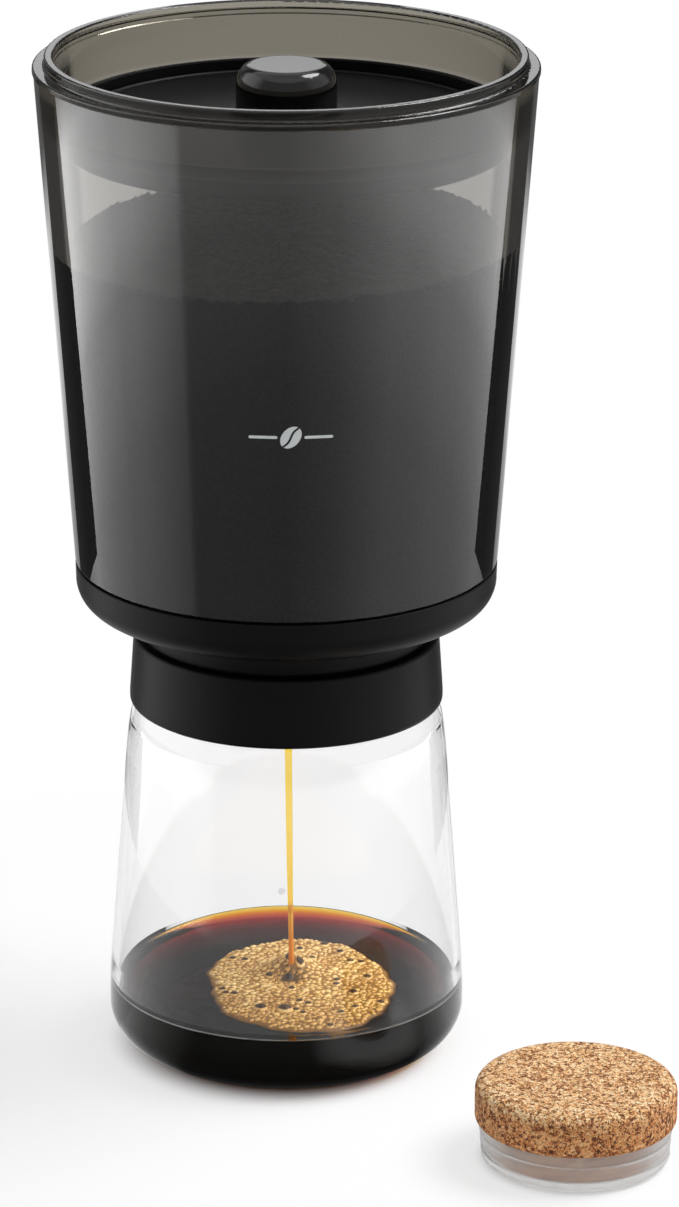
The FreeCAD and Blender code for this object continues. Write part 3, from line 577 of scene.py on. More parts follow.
def coffee_crema():
    """Foam of coffee oils: thin golden bubbles with darker amber between them."""
    material, tree, output = new_material("coffee_crema")
    # The bubble tone carries painted shade and painted highlights of each bubble, and painted
    # shade in the hollow and towards the front and the right.
    tone = ramp(tree, attribute(tree, "bubble_tone_and_painted_light"), [
        (0.0, "#2a1808"), (0.25, colours().foam_dark), (0.55, "#d6a248"),
        (1.0, colours().foam_light)])
    patches = ramp(tree, speckle(tree, 9.0), [(0.3, "#e0d0b8"), (0.65, grey(1.0))])
    surface(tree, output, {"Base Color": multiplied(tree, tone, patches), "Roughness": 0.42,
                           "IOR": 1.34})
    return material


def ground_coffee():
    """Ground roasted coffee: dull, nearly black grains of about 1 mm, darker still where they
    stand upright at the wall."""
    material, tree, output = new_material("ground_coffee")
    grains = cells(tree, position(tree), 1.1)
    tone = ramp(tree, channel(tree, grains["Color"], "Red"),
                [(place, [share * part for part in colours().grounds])
                 for place, share in ((0.0, 0.5), (0.6, 1.0), (0.95, 1.5))])
    darker_upright = ramp(tree, facing_up(tree), [(0.3, grey(0.4)), (0.7, grey(1.0))])
    surface(tree, output, {"Base Color": multiplied(tree, tone, darker_upright), "Roughness": 0.8,
                           "Normal": bump(tree, grains["Distance"], 0.6)})
    return material


# ---------------- operators for the CAD parts

class BREWER_OT_carafe(bpy.types.Operator):
    """Dress the carafe in clear glass."""
    bl_idname = "brewer.carafe"
    bl_label = "Carafe"

    def execute(self, context):
        dress(borosilicate_glass(), "carafe_glass")
        return {"FINISHED"}


class BREWER_OT_container(bpy.types.Operator):
    """Dress the container in smoke-tinted plastic."""
    bl_idname = "brewer.container"
    bl_label = "Container"

    def execute(self, context):
        dress(smoke_copolyester(), "container_shell")
        return {"FINISHED"}


class BREWER_OT_black_parts(bpy.types.Operator):
    """Dress the moulded black parts and the knob."""
    bl_idname = "brewer.black_parts"
    bl_label = "Black parts"

    def execute(self, context):
        dress(satin_abs(), "neck_collar", "drain_base", "drain_floor", "drain_spout",
              "neck_guide", "valve_foot", "filter_frame", "filter_tab", "cover_dish",
              "cover_plate", "knob_ring")
        dress(polished_abs(), "knob_shell")
        return {"FINISHED"}


class BREWER_OT_metal_parts(bpy.types.Operator):
    """Dress the valve's metal, the screws and the filter mesh."""
    bl_idname = "brewer.metal_parts"
    bl_label = "Metal parts"

    def execute(self, context):
        dress(turned_steel(), "valve_stem", "valve_clip", "valve_spring", "floor_screws",
              "knob_screw")
        dress(woven_steel(), "filter_mesh")
        return {"FINISHED"}


class BREWER_OT_rubber_parts(bpy.types.Operator):
    """Dress the gaskets and seals."""
    bl_idname = "brewer.rubber_parts"
    bl_label = "Rubber parts"

    def execute(self, context):
        dress(grey_silicone(), "shell_gasket", "valve_seal", "filter_gasket")
        dress(black_rubber(), "cover_seal")
        return {"FINISHED"}


class BREWER_OT_stopper(bpy.types.Operator):
    """Dress the cork head and the silicone plug."""
    bl_idname = "brewer.stopper"
    bl_label = "Stopper"

    def execute(self, context):
        dress(agglomerated_cork(), "stopper_cork")
        dress(clear_silicone(), "stopper_plug")
        return {"FINISHED"}


# ---------------- coffee

GLASS_BITE = 0.1 * MM          # how far the coffee reaches into the glass, so that no air shows
GLASS_FOOT = 1.5 * MM          # a height between the glass's underside and its floor
MENISCUS_FILM = 0.5 * MM       # thickness of the meniscus at its upper edge
MENISCUS_STEPS = (0.93, 0.86, 0.79, 0.72, 0.65, 0.58, 0.5, 0.42, 0.34, 0.26, 0.18, 0.1, 0.05,
                  0.02)
COFFEE_SEGMENTS = 192
WASH_LEAST = 0.3               # share of the climb that is left at the coffee's front and sides


def meniscus_curve(climb):
    """Points (distance from the wall, rise) of a liquid that wets its wall and climbs this far."""
    root = math.sqrt(2.0)
    shift = math.acosh(root) - root
    points = []
    for rise in MENISCUS_STEPS:
        height = rise * root
        inward = math.acosh(2.0 / height) - math.sqrt(4.0 - height ** 2) - shift
        points.append((inward * (climb / root) + MENISCUS_FILM, rise * climb))
    return points


def coffee_outline(level, climb):
    """Half outline of the coffee: foot, wall, meniscus and surface."""
    floor = min(v.co.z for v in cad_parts["carafe_glass"].data.vertices
                if v.co.z > GLASS_FOOT)
    outline = [(0.0, floor - GLASS_BITE)]
    steps = 24
    first = floor + 0.05 * MM
    for step in range(steps + 1):
        height = first + (level + climb - first) * (step / steps) ** 1.6
        outline.append((bore("carafe_glass", height) + GLASS_BITE,
                        height if step else height - GLASS_BITE))
    wall = outline[-1][0]
    outline += [(wall - GLASS_BITE - inward, level + rise)
                for inward, rise in meniscus_curve(climb)]
    return outline + [(wall * share, level) for share in (0.7, 0.35, 0.0)]


def washed(x, y, z):
    """A point of the coffee; its edge stands highest at the back, where it has run up the
    wall."""
    level = sizes().coffee_level
    if z <= level:
        return x, y, z
    back = max(0.0, y / math.hypot(x, y))
    return x, y, level + (z - level) * (WASH_LEAST + (1 - WASH_LEAST) * back ** 3)


class BREWER_OT_coffee(bpy.types.Operator):
    """Fill the carafe with brewed coffee."""
    bl_idname = "brewer.coffee"
    bl_label = "Brewed coffee"

    def execute(self, context):
        outline = coffee_outline(sizes().coffee_level, sizes().meniscus)
        points, faces = lathe(outline, COFFEE_SEGMENTS)
        points = [washed(*point) for point in points]
        coffee = new_object("brewed_coffee", points, faces, brewed_coffee_liquid(), "carafe")
        top = max(range(len(outline)), key=lambda index: outline[index][1])
        layer = coffee.data.attributes.new("against_glass", "FLOAT", "FACE")
        layer.data.foreach_set("value", [float(index < COFFEE_SEGMENTS * top)
                                         for index in range(len(coffee.data.polygons))])
        return {"FINISHED"}


FOAM_CENTRE = Vector((4.5 * MM, -7.0 * MM))
FOAM_LEAN = math.radians(97)            # direction in which the patch is longest
FOAM_STEP = 0.22 * MM                   # pitch of the grid that the foam is drawn on
FOAM_SLOPE = 2.2 * MM                   # width of the slope at the patch's edge
FOAM_TONE = 0.36                        # tone of the foam between its bubbles
DIMPLE = Vector((1.6 * MM, 2.2 * MM))   # where the stream lands
HEAP_BACK, HEAP_HEIGHT = 4.5 * MM, 5.0 * MM         # the stream heaps the foam up round its foot
HEAP_REACH = (7.0 * MM, 5.0 * MM)
HOLLOW_BACK, HOLLOW_DEPTH = -3.2 * MM, 1.2 * MM     # the hollow before the heap, which the tone paints dark as shade
HOLLOW_REACH = 6.0 * MM
# Large bubbles as (x, y, radius), then the mean radii and numbers of the small ones.
LARGE_BUBBLES_MM = ((-7.9, -27.3, 2.3), (-0.5, -28.4, 2.6), (25.0, -3.0, 1.7), (20.5, -15.0, 1.7),
                    (-16.0, -16.0, 1.5), (12.0, 23.5, 1.6), (-13.0, 11.0, 1.5), (5.0, -31.0, 1.3),
                    (-16.5, -23.0, 1.2), (20.0, 10.0, 1.5))
SMALL_BUBBLES_MM = ((1.2, 55), (0.85, 380), (0.6, 2400))
BUBBLE_SPACING = 0.86          # least distance of two bubbles, as a share of their radii's sum
BUBBLE_TRIES = 3               # tries at placing each small bubble
PAINTED_DARK_BUBBLE_RADIUS = 1.28 * MM      # a larger bubble is painted dark inside, as shade, with a spot of painted highlight
SEED = 11


def foam_edge(angle):
    """Radius of the patch of foam in a direction from its centre."""
    lean = 4.4 * MM * math.cos(2 * (angle - FOAM_LEAN))
    ripple = 0.7 * math.sin(5 * angle + 1.0) + 0.45 * math.sin(11 * angle + 2.0)
    ripple += 0.3 * math.sin(23 * angle)
    return sizes().foam_radius + lean + ripple * MM


def scatter_bubbles(chance):
    """Bubbles as (x, y, radius), large ones first, none much inside another."""
    bubbles, squares = [], {}
    square = 2.0 * MM

    def settle(x, y, radius):
        bubbles.append((x, y, radius))
        squares.setdefault((int(x // square), int(y // square)), []).append(bubbles[-1])

    for bubble in LARGE_BUBBLES_MM:
        settle(*(part * MM for part in bubble))
    reach = sizes().foam_radius * 1.25
    for mean, count in SMALL_BUBBLES_MM:
        for attempt in range(count * BUBBLE_TRIES):
            x = FOAM_CENTRE.x + chance.uniform(-reach, reach)
            y = FOAM_CENTRE.y + chance.uniform(-reach, reach)
            radius = mean * chance.uniform(0.75, 1.25) * MM
            away = Vector((x, y)) - FOAM_CENTRE
            if away.length > foam_edge(math.atan2(away.y, away.x)) - radius:
                continue
            column, row = int(x // square), int(y // square)
            near = [b for i in range(column - 2, column + 3) for j in range(row - 2, row + 3)
                    for b in squares.get((i, j), [])]
            if all(math.hypot(x - b[0], y - b[1]) >= BUBBLE_SPACING * (radius + b[2])
                   for b in near):
                settle(x, y, radius)
    return bubbles


def bubble_tone_and_painted_light(across, back, radius, chance):
    """Tone of a bubble round its middle, with painted light: painted shade across its middle and a
    painted highlight at its near rim.  A larger bubble is painted dark inside, with a spot of
    painted highlight.
    """
    off = np.hypot(across, back) / radius
    back_share = back / radius
    bright = chance.uniform(0.6, 0.92)
    depth = min(1.0, chance.uniform(0.55, 1.3) * radius / (0.62 * MM))
    # Painted shade across the bubble's middle, and a painted highlight at its near rim.
    painted_crescent_shade = (np.exp(-((back_share - 0.25) / 0.42) ** 2)
                * np.clip((0.95 - off) / 0.25, 0.0, 1.0))
    rim = np.clip(-1.3 * back_share, 0.0, 1.0) * np.clip((off - 0.5) / 0.3, 0.0, 1.0)
    tone = bright * (1 - 0.95 * depth * painted_crescent_shade) + 0.3 * rim
    # Painted shade inside a larger bubble, sparing a spot of painted highlight.
    if radius > PAINTED_DARK_BUBBLE_RADIUS:
        painted_glint = np.hypot(across + 0.3 * radius, back - 0.25 * radius)
        tone = np.where((off < 0.78) & (painted_glint > 0.16 * radius), 0.05, tone)
    return tone


def foam_field(level):
    """Height and tone of the foam on a square grid."""
    radius = sizes().foam_radius
    reach = radius * 1.3
    steps = FOAM_STEP * np.arange(int(2 * reach / FOAM_STEP))
    xs, ys = FOAM_CENTRE.x - reach + steps, FOAM_CENTRE.y - reach + steps
    grid_x, grid_y = np.meshgrid(xs, ys, indexing="ij")
    across, back = grid_x - FOAM_CENTRE.x, grid_y - FOAM_CENTRE.y
    edge = np.vectorize(foam_edge)(np.arctan2(back, across))
    inside = (edge - np.hypot(across, back)) / FOAM_SLOPE
    body = np.clip(inside, -1.0, 1.0)
    height = sizes().foam_height * np.where(body > 0, np.sqrt(np.clip(body, 0, 1)), body)
    tone = np.full_like(height, FOAM_TONE)
    chance = random.Random(SEED)
    for x, y, size in scatter_bubbles(chance):
        window = tuple(slice(max(0, int((middle - size - start) / FOAM_STEP)),
                             int((middle + size - start) / FOAM_STEP) + 2)
                       for middle, start in ((x, xs[0]), (y, ys[0])))
        away = grid_x[window] - x, grid_y[window] - y
        off = np.hypot(*away) / size
        cap = 0.75 * size * np.sqrt(np.clip(1 - off ** 2, 0, 1))
        height[window] = np.where(off < 1, height[window] + cap, height[window])
        tone[window] = np.where(off < 1, bubble_tone_and_painted_light(*away, size, chance), tone[window])
    hollow = np.hypot(grid_x - DIMPLE.x + 0.6 * MM, (grid_y - HOLLOW_BACK) * 1.5) / HOLLOW_REACH
    height -= HOLLOW_DEPTH * np.exp(-hollow ** 2) * (inside > 0)
    heap = (((grid_x - DIMPLE.x) / HEAP_REACH[0]) ** 2
            + ((grid_y - HEAP_BACK) / HEAP_REACH[1]) ** 2)
    height += HEAP_HEIGHT * np.exp(-heap)
    # Painted shade: the foam is darker in the hollow, towards the front and towards the right.
    tone *= 1 - 0.85 * np.exp(-(hollow * 1.15) ** 2)
    tone *= 1 - 0.2 * np.clip(-back / radius, 0, 1)
    tone *= 1 - 0.15 * np.clip(across / radius, 0, 1)
    return grid_x, grid_y, level + height, tone, inside > -0.4


class BREWER_OT_foam(bpy.types.Operator):
    """Float a patch of golden foam where the stream lands."""
    bl_idname = "brewer.foam"
    bl_label = "Foam"

    def execute(self, context):
        grid_x, grid_y, height, tone, kept = foam_field(sizes().coffee_level)
        index = np.full(kept.shape, -1)
        index[kept] = np.arange(kept.sum())
        points = np.stack([grid_x[kept], grid_y[kept], height[kept]], axis=1)
        corners = np.stack([index[:-1, :-1], index[1:, :-1], index[1:, 1:], index[:-1, 1:]],
                           axis=-1).reshape(-1, 4)
        faces = corners[corners.min(axis=1) >= 0].tolist()
        foam = new_object("coffee_foam", points, faces, coffee_crema(), "carafe")
        layer = foam.data.attributes.new("bubble_tone_and_painted_light", "FLOAT", "POINT")
        layer.data.foreach_set("value", tone[kept].astype(np.float32))
        return {"FINISHED"}


STREAM_RINGS, STREAM_SEGMENTS = 60, 20
STREAM_START = 0.45 * MM       # how far right of the axis the stream leaves the nozzle
STREAM_FLARE, FLARE_START = 0.5 * MM, 0.94     # it widens again where it meets the foam


class BREWER_OT_stream(bpy.types.Operator):
    """Let a thin stream of coffee fall from the nozzle to the foam."""
    bl_idname = "brewer.stream"
    bl_label = "Stream"

    def execute(self, context):
        level = sizes().coffee_level
        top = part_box("valve_foot")[0].z + 2.0 * MM
        points, faces = [], []
        for ring in range(STREAM_RINGS + 1):
            share = ring / STREAM_RINGS
            radius = sizes().stream_radius * (1 - 0.5 * share ** 0.8)
            radius *= 1 + 0.05 * math.sin(14 * share) * share
            radius += STREAM_FLARE * max(0.0, share - FLARE_START) / (1 - FLARE_START)
            bend = share ** 1.5
            middle = (STREAM_START + (DIMPLE.x - STREAM_START) * bend, DIMPLE.y * bend)
            points += circle(radius, top + (level - top) * share, STREAM_SEGMENTS, middle)
        for low in range(0, STREAM_RINGS * STREAM_SEGMENTS, STREAM_SEGMENTS):
            high = low + STREAM_SEGMENTS
            for step in range(STREAM_SEGMENTS):
                after = (step + 1) % STREAM_SEGMENTS
                faces.append((low + step, low + after, high + after, high + step))
        faces.append(tuple(range(STREAM_SEGMENTS)))
        faces.append(tuple(range(len(points) - STREAM_SEGMENTS, len(points))))
        stream = new_object("coffee_stream", points, faces, falling_coffee(), "carafe")
        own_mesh(stream)
        return {"FINISHED"}


WALL_BITE = 0.05 * MM          # the wet grounds press against the container's wall
GROUNDS_SLOPE = (0.024, 0.031)  # rise of the grounds' top along X and along Y
GROUNDS_FOOT = 0.5 * MM        # height of the bevel at the foot of the grounds
GROUNDS_SEGMENTS = 420
GROUNDS_WALL_STEPS, GROUNDS_TOP_STEPS = 70, 40


def crumbled(x, y, z, foot, top):
    """A point of the ground coffee; its top slopes and is crumbly."""
    share = max(0.0, (z - foot) / (top - foot))
    z += share ** 8 * (GROUNDS_SLOPE[0] * x + GROUNDS_SLOPE[1] * y)
    if share > 0.985:
        place = Vector((x, y, z))
        crumbs = noise.noise(place * per_metre(1.9)) + 0.8 * noise.noise(place * per_metre(1.0))
        z += (1.2 * crumbs + 0.3 * noise.noise(place * per_metre(9.0))) * MM
    return x, y, z


class BREWER_OT_grounds(bpy.types.Operator):
    """Heap ground coffee on the filter."""
    bl_idname = "brewer.grounds"
    bl_label = "Ground coffee"

    def execute(self, context):
        frame_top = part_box("filter_frame")[1]
        foot, top = frame_top.z + 0.1 * MM, sizes().grounds_height
        first = foot + GROUNDS_FOOT
        outline = [(0.0, foot), (frame_top.x - 2 * MM, foot)]
        for step in range(GROUNDS_WALL_STEPS + 1):
            height = first + (top - foot - GROUNDS_FOOT) * (step / GROUNDS_WALL_STEPS)
            outline.append((bore("container_shell", height) + WALL_BITE, height))
        rim = outline[-1][0]
        outline += [(rim * (1 - step / GROUNDS_TOP_STEPS), top)
                    for step in range(1, GROUNDS_TOP_STEPS + 1)]
        points, faces = lathe(outline, GROUNDS_SEGMENTS)
        points = [crumbled(*point, foot, top) for point in points]
        grounds = new_object("coffee_grounds", points, faces, ground_coffee(), "filter")
        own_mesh(grounds)
        return {"FINISHED"}


# ---------------- printed marks

MARK_TURN = math.radians(-90 + 1.1)     # the mark faces the front, a little to the right
PRINT_LIFT, PRINT_FILM = 0.03 * MM, 0.02 * MM
BAR_INNER, BAR_OUTER, BAR_HALF = 3.9 * MM, 12.3 * MM, 0.45 * MM
BEAN_LONG, BEAN_WIDE = 3.75 * MM, 2.65 * MM
BEAN_LEAN = math.radians(52)
BEAN_SLIT, BEAN_BEND = 0.33 * MM, 0.35 * MM
DOT_HEIGHT, DOT_RADIUS = 68.9 * MM, 1.05 * MM
DOT_TURN = math.radians(-90 - 1.6)


def arc(angles, across, up, centre=0.0):
    """Points of an arc of an ellipse, as (across, up)."""
    return [Vector((centre + across * math.cos(a), up * math.sin(a))) for a in angles]


def bar_shape(side):
    """A bar with round ends, beside the bean."""
    shape = []
    for centre, start in ((BAR_OUTER - BAR_HALF, -90), (BAR_INNER + BAR_HALF, 90)):
        angles = [math.radians(start + 180 * step / 8) for step in range(9)]
        shape += arc(angles, side * BAR_HALF, BAR_HALF, side * centre)
    return shape


def bean_shape(side):
    """One half of the bean, with its side of the curved slit."""
    shape = arc([side * math.pi * step / 24 for step in range(25)], BEAN_LONG, BEAN_WIDE)
    for step in range(25):
        share = -1 + 2 * step / 24
        bend = BEAN_BEND * math.sin(math.pi * share)
        shape.append(Vector((BEAN_LONG * 0.97 * share, bend + side * BEAN_SLIT)))
    turn = Matrix.Rotation(BEAN_LEAN, 2)
    return [turn @ p for p in shape]


def wrap_print(name, shapes, node, height, turn, material, body):
    """Lay flat outlines of (across, up) on the outside of a CAD node, as thin films."""
    points, faces = [], []
    for shape in shapes:
        first = len(points)
        for p in shape:
            radius = outer(node, height + p.y) + PRINT_LIFT
            angle = turn + p.x / radius
            points.append((radius * math.cos(angle), radius * math.sin(angle), height + p.y))
        faces.append(tuple(range(first, len(points))))
    piece = new_object(name, points, faces, material, body, flat=True)
    piece.modifiers.new("film", "SOLIDIFY").thickness = PRINT_FILM


class BREWER_OT_marks(bpy.types.Operator):
    """Print the fill mark on the container and the dot on the carafe."""
    bl_idname = "brewer.marks"
    bl_label = "Printed marks"

    def execute(self, context):
        shapes = [bar_shape(-1), bar_shape(1), bean_shape(-1), bean_shape(1)]
        wrap_print("fill_mark", shapes, "container_shell", sizes().mark_height, MARK_TURN,
                   printed_ink(), "container")
        dot = arc([a * math.pi / 12 for a in range(24)], DOT_RADIUS, DOT_RADIUS)
        wrap_print("level_dot", [dot], "carafe_glass", DOT_HEIGHT, DOT_TURN, etched_glass(),
                   "carafe")
        return {"FINISHED"}


# ---------------- studio

CAMERA_BACK = 1.6213           # camera's distance in front of the carafe's axis
CAMERA_HEIGHT = 0.7005
CAMERA_PITCH = math.radians(18.99)
FOCAL_PIXELS = 5637.0
IMAGE_WIDTH, IMAGE_HEIGHT = 679, 1207
AXIS_PIXEL = 286.4             # where the carafe's axis stands across the image
SENSOR = 36.0
FAR_CLIP = 50.0

TABLE_RADIUS = 0.25
TABLE_FADE = (0.6, 0.98)       # shares of the radius between which its rim fades into the white
TABLE_SEGMENTS = 96
TABLE_WHITE = 0.9
TABLE_GLOW = 0.71              # share of the white background in the table, as the eye sees it
# What stands on the table, with how far under it the contact shadow stays dark.
TABLE_SHADOWS = (("carafe_glass", 14 * MM), ("stopper_plug", 8 * MM))
KEY_PLACE = (1.05, 0.2, 1.55)
KEY_POWER, KEY_SIZE = 31.0, 1.1
FILL = 0.46                    # strength of the world where it lights the object

TENT_RADIUS = 1.3
TENT_LOW, TENT_SPLIT, TENT_HIGH = -1.3, 0.05, 1.5
TENT_PEAK, UPPER_PEAK = 4.0, 1.5
# Brightness of the tent's lower and upper part by direction: 0 degrees is the camera's side
# and 90 the right.
TENT_STOPS = ((-91.0, 3.7), (-78.0, 3.5), (-65.0, 2.9), (-52.0, 2.1), (-48.5, 1.08), (0.0, 1.0),
              (24.0, 1.5), (52.0, 2.7), (80.0, 3.0), (121.0, 2.4), (140.0, 1.0), (220.0, 1.0),
              (237.0, 3.9))
UPPER_STOPS = ((-135.0, 0.12), (-120.0, 1.5), (-85.0, 1.5), (-60.0, 0.45), (45.0, 0.45),
               (70.0, 0.8), (110.0, 0.8), (125.0, 0.12))
# Brightness of the lower part by height, as (height, share): a band that fades downwards.
TENT_BAND = ((-0.42, 0.31), (-0.34, 0.37), (-0.28, 0.52), (-0.24, 0.62), (-0.21, 0.88),
             (-0.18, 1.0), (-0.115, 1.0), (-0.07, 0.15), (0.05, 0.12))
ROOF_HALF, ROOF_GLOW = 0.45, 0.8
# The two black flags: the directions they cover, and the turn of their top corners.
FLAGS = ((121.5, 153.0, (9.0, 0.0)), (207.5, 237.5, (0.0, -9.0)))
FLAG_LOW, FLAG_GLOW = -0.335, 0.06
# A grey card behind: the directions it covers, its distance, bottom and top.
BACK_CARD = (145.0, 215.0, 1.25, 0.2, 0.9)
# A soft box behind, that the knob's top shows: its sides, distance, bottom and top, and its
# brightness at the bottom and the top.
BACK_BOX = (-0.2, 0.2, 1.0, 0.53, 1.2)
BACK_BOX_GLOW = (1.35, 0.3)
FRONT_CARD = (0.041, 0.25)     # inner and outer radius of a card on the table
FRONT_LIFT = 0.3 * MM
FRONT_BLACK, FRONT_RIM, FRONT_WHITE = 0.04, 0.42, 0.95


def polar(azimuth, distance):
    """A point on the ground; azimuth 0 is the camera's side, 90 the right."""
    angle = math.radians(azimuth)
    return distance * math.sin(angle), -distance * math.cos(angle)


def staged(name, points, faces, material):
    """A piece of the studio."""
    mesh = bpy.data.meshes.new(name)
    mesh.from_pydata(points, [], faces)
    mesh.materials.append(material)
    piece = placed(name, mesh)
    return piece


def reflected(name, points, faces, material):
    """A piece of the studio that shows in reflections and nowhere else."""
    piece = staged(name, points, faces, material)
    for ray in ("camera", "diffuse", "transmission", "shadow", "volume_scatter"):
        setattr(piece, "visible_" + ray, False)
    return piece


def strip(first, second):
    """Points and faces of a strip between two rows of points."""
    count = len(first)
    return first + second, [(n, n + 1, count + n + 1, count + n) for n in range(count - 1)]


def arc_wall(low, high, start=0.0, end=360.0, radius=TENT_RADIUS, steps=96, lean=(0.0, 0.0)):
    """Points and faces of a round upright wall between two directions; lean turns the two
    ends of its top edge."""
    return strip(*([(*polar(first + (last - first) * step / steps, radius), height)
                    for step in range(steps + 1)]
                   for height, first, last in ((low, start, end),
                                               (high, start + lean[0], end + lean[1]))))


def by_azimuth(tree, stops, scale=1.0):
    """A ramp over the direction from the middle of the tent."""
    turn = add(tree, "ShaderNodeTexGradient", {"Vector": position(tree)},
               gradient_type="RADIAL").outputs["Fac"]
    places = sorted(((azimuth / 360 + 0.25) % 1.0, level) for azimuth, level in stops)
    return ramp(tree, turn, [(place, grey(level / scale)) for place, level in places])


def by_height(tree, stops):
    """A ramp over the height in the tent's lower part."""
    share = span(tree, upright(tree, position(tree)), TENT_LOW, TENT_SPLIT)
    return ramp(tree, share, [((place - TENT_LOW) / (TENT_SPLIT - TENT_LOW), grey(level))
                              for place, level in stops])


def lower_tone(tree):
    """The tent's lower part: soft boxes at the sides and behind, with dark gaps between them."""
    return multiplied(tree, by_azimuth(tree, TENT_STOPS, TENT_PEAK), by_height(tree, TENT_BAND))


def upper_tone(tree):
    """The tent's upper part: dim, brighter at the left and a little at the camera's side."""
    return by_azimuth(tree, UPPER_STOPS, UPPER_PEAK)


def back_tone(tree):
    """The card behind the brewer: grey, darker towards the right."""
    return by_azimuth(tree, ((150.0, 0.08), (205.0, 0.24)))


def box_tone(tree):
    """The soft box behind, which fades upwards."""
    return span(tree, upright(tree, position(tree)), *BACK_BOX[3:], *BACK_BOX_GLOW)


def front_tone(tree):
    """The card on the table before the brewer: black near it, grey at its rim, and white at
    its ends and round the stopper."""
    tone = by_azimuth(tree, ((-88.0, FRONT_WHITE), (-42.0, FRONT_BLACK), (55.0, FRONT_BLACK),
                             (90.0, FRONT_WHITE)))
    rim = span(tree, distance(tree), 0.07, 0.25, FRONT_BLACK, FRONT_RIM)
    low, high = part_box("stopper_plug")
    stopper = span(tree, distance(tree, (low + high) / 2), 0.045, 0.07, 0.9, FRONT_BLACK)
    for lighter in (rim, stopper):
        tone = mixed_colour(tree, 1.0, tone, lighter, "LIGHTEN")
    return tone


def glowing(name, tone=None, strength=1.0):
    """Glowing cloth, white or with a tone that is worked out in the material's node tree."""
    material, tree, output = new_material(name)
    colour = grey(1.0) if tone is None else tone(tree)
    glow = add(tree, "ShaderNodeEmission", {"Color": colour, "Strength": strength})
    tree.links.new(glow.outputs["Emission"], output.inputs["Surface"])
    return material


def seen_ray(tree):
    """1 for a ray that shows the background: straight, reflected or through glass."""
    rays = add(tree, "ShaderNodeLightPath").outputs
    return maths(tree, "MAXIMUM",
                 maths(tree, "MAXIMUM", rays["Is Camera Ray"], rays["Is Glossy Ray"]),
                 rays["Is Transmission Ray"])


def clear_of(tree, node, inner):
    """0 under a CAD node and 1 outside it, so that the contact shadow stays dark."""
    low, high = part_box(node)
    middle, radius = (low + high) / 2, (high.x - low.x) / 2
    return span(tree, distance(tree, (middle.x, middle.y, 0.0)), radius - inner,
                radius + 3 * MM, kind="SMOOTHSTEP")


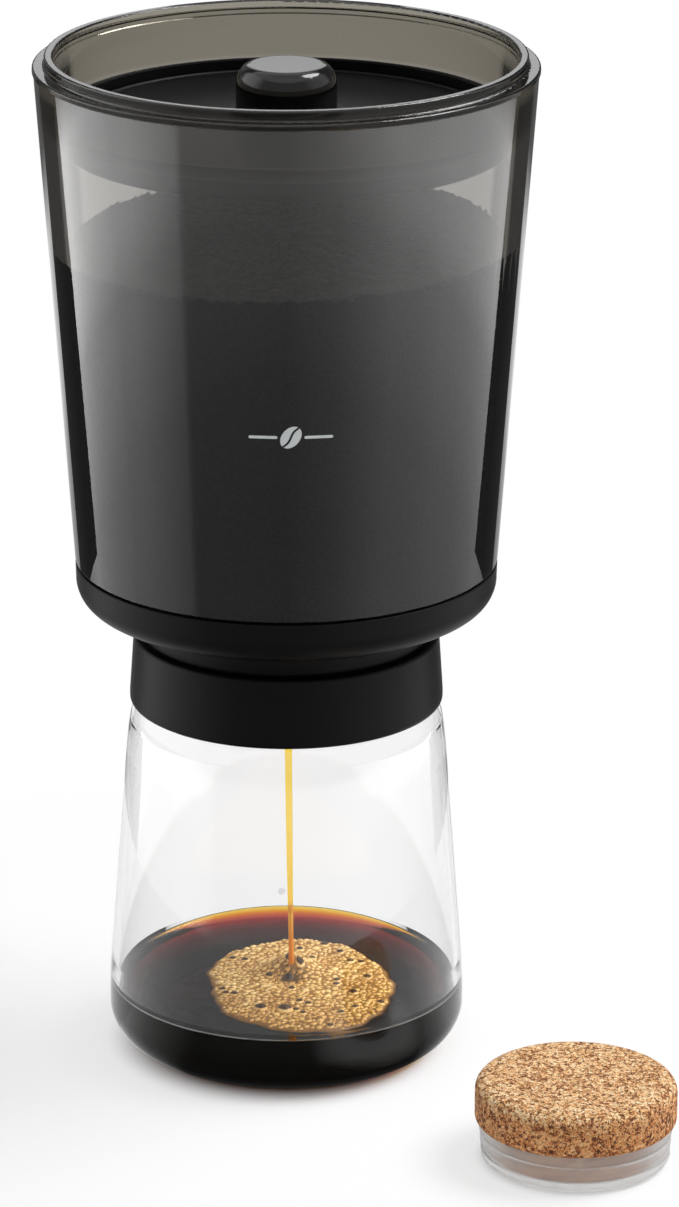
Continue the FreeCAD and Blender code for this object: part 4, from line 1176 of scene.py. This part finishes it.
class BREWER_OT_studio(bpy.types.Operator):
    """Set up the table, the soft boxes, the world and the camera."""
    bl_idname = "brewer.studio"
    bl_label = "Studio"

    def execute(self, context):
        self.table()
        self.tent()
        self.cards()
        self.key()
        self.world()
        self.camera()
        context.scene.view_settings.view_transform = "Standard"
        return {"FINISHED"}

    def table(self):
        """A round white table under the brewer, whose rim fades into the white around it."""
        material, tree, output = new_material("white_table")
        cloth = add(tree, "ShaderNodeBsdfDiffuse", {"Color": grey(TABLE_WHITE)}).outputs[0]
        white = add(tree, "ShaderNodeEmission", {"Color": grey(1.0), "Strength": 1.0}).outputs[0]
        seen = seen_ray(tree)
        share = maths(tree, "MULTIPLY", seen, TABLE_GLOW)
        for node, inner in TABLE_SHADOWS:
            share = maths(tree, "MULTIPLY", share, clear_of(tree, node, inner))
        rim = span(tree, distance(tree), *(fade * TABLE_RADIUS for fade in TABLE_FADE),
                   kind="SMOOTHSTEP")
        share = maths(tree, "MAXIMUM", share, maths(tree, "MULTIPLY", rim, seen))
        tree.links.new(mixed_shader(tree, share, cloth, white), output.inputs["Surface"])
        edge = [(*polar(360 * step / TABLE_SEGMENTS, TABLE_RADIUS), 0.0)
                for step in range(TABLE_SEGMENTS)]
        staged("table", edge, [tuple(range(TABLE_SEGMENTS))], material)

    def tent(self):
        """A tent of soft boxes with two black flags, that the glossy surfaces show."""
        reflected("tent_sides", *arc_wall(TENT_LOW, TENT_SPLIT),
                  glowing("tent_cloth", lower_tone, TENT_PEAK))
        reflected("tent_upper", *arc_wall(TENT_SPLIT, TENT_HIGH),
                  glowing("upper_cloth", upper_tone, UPPER_PEAK))
        half = ROOF_HALF
        reflected("tent_roof", *strip([(-half, -half, TENT_HIGH), (half, -half, TENT_HIGH)],
                                      [(-half, half, TENT_HIGH), (half, half, TENT_HIGH)]),
                  glowing("roof_cloth", strength=ROOF_GLOW))
        black = glowing("black_cloth", strength=FLAG_GLOW)
        for number, (start, end, lean) in enumerate(FLAGS):
            reflected("flag_%d" % number, *arc_wall(FLAG_LOW, TENT_SPLIT, start, end,
                                                    0.98 * TENT_RADIUS, 24, lean), black)

    def cards(self):
        """A card on the table in front, and a card and a soft box behind."""
        rows = [[(*polar(azimuth, radius), FRONT_LIFT) for azimuth in range(-90, 95, 5)]
                for radius in FRONT_CARD]
        reflected("front_card", *strip(*rows), glowing("front_cloth", front_tone))
        start, end, radius, low, high = BACK_CARD
        card = reflected("back_card", *arc_wall(low, high, start, end, radius, 1),
                         glowing("back_cloth", back_tone))
        card.visible_transmission = True
        left, right, away, low, high = BACK_BOX
        reflected("back_box", *strip([(left, away, low), (right, away, low)],
                                     [(left, away, high), (right, away, high)]),
                  glowing("box_cloth", box_tone))

    def key(self):
        """A broad key light from the upper right."""
        data = bpy.data.lights.new("key", "AREA")
        data.shape = "DISK"
        data.size = KEY_SIZE
        data.energy = KEY_POWER
        data.specular_factor = 0.0
        key = placed("key", data)
        key.location = KEY_PLACE
        key.rotation_euler = (-Vector(KEY_PLACE)).to_track_quat("-Z", "Y").to_euler()

    def world(self):
        """White to the eye, in reflections and through glass; a plain level of light elsewhere."""
        world = bpy.data.worlds.new("studio")
        bpy.context.scene.world = world
        world.use_nodes = True
        tree = world.node_tree
        tree.nodes.clear()
        dim, white = (add(tree, "ShaderNodeBackground", {"Color": grey(1.0), "Strength": level})
                      .outputs["Background"] for level in (FILL, 1.0))
        output = add(tree, "ShaderNodeOutputWorld")
        tree.links.new(mixed_shader(tree, seen_ray(tree), dim, white), output.inputs["Surface"])

    def camera(self):
        """A long lens from a little above."""
        data = bpy.data.cameras.new("camera")
        data.sensor_fit = "VERTICAL"
        data.sensor_height = SENSOR
        data.lens = FOCAL_PIXELS * SENSOR / IMAGE_HEIGHT
        data.shift_x = (IMAGE_WIDTH / 2 - AXIS_PIXEL) / IMAGE_HEIGHT
        data.clip_end = FAR_CLIP
        camera = placed("camera", data)
        camera.location = (0.0, -CAMERA_BACK, CAMERA_HEIGHT)
        camera.rotation_euler = (math.pi / 2 - CAMERA_PITCH, 0.0, 0.0)
        bpy.context.scene.camera = camera


# ---------------- panel and registration

OPERATORS = (
    BREWER_OT_studio, BREWER_OT_carafe, BREWER_OT_container, BREWER_OT_black_parts,
    BREWER_OT_metal_parts, BREWER_OT_rubber_parts, BREWER_OT_stopper, BREWER_OT_coffee,
    BREWER_OT_foam, BREWER_OT_stream, BREWER_OT_grounds, BREWER_OT_marks,
)


class BREWER_PT_panel(bpy.types.Panel):
    """The brewer's pieces, sizes and colours."""
    bl_idname = "BREWER_PT_panel"
    bl_label = "Cold Brew Coffee Maker"
    bl_space_type = "VIEW_3D"
    bl_region_type = "UI"
    bl_category = "Brewer"

    def draw(self, context):
        for operator in OPERATORS:
            self.layout.operator(operator.bl_idname)
        for group in (context.scene.brewer_sizes, context.scene.brewer_colours):
            box = self.layout.box()
            for name in group.bl_rna.properties.keys():
                if name not in ("rna_type", "name"):
                    box.prop(group, name)


CLASSES = (BrewerSizes, BrewerColours, *OPERATORS, BREWER_PT_panel)


def register():
    for item in CLASSES:
        bpy.utils.register_class(item)
    bpy.types.Scene.brewer_sizes = bpy.props.PointerProperty(type=BrewerSizes)
    bpy.types.Scene.brewer_colours = bpy.props.PointerProperty(type=BrewerColours)


def unregister():
    del bpy.types.Scene.brewer_colours
    del bpy.types.Scene.brewer_sizes
    for item in reversed(CLASSES):
        bpy.utils.unregister_class(item)


def main():
    """Build the scene."""
    register()
    for operator in OPERATORS:
        group, name = operator.bl_idname.split(".")
        getattr(getattr(bpy.ops, group), name)()


if __name__ == "__main__":
    main()
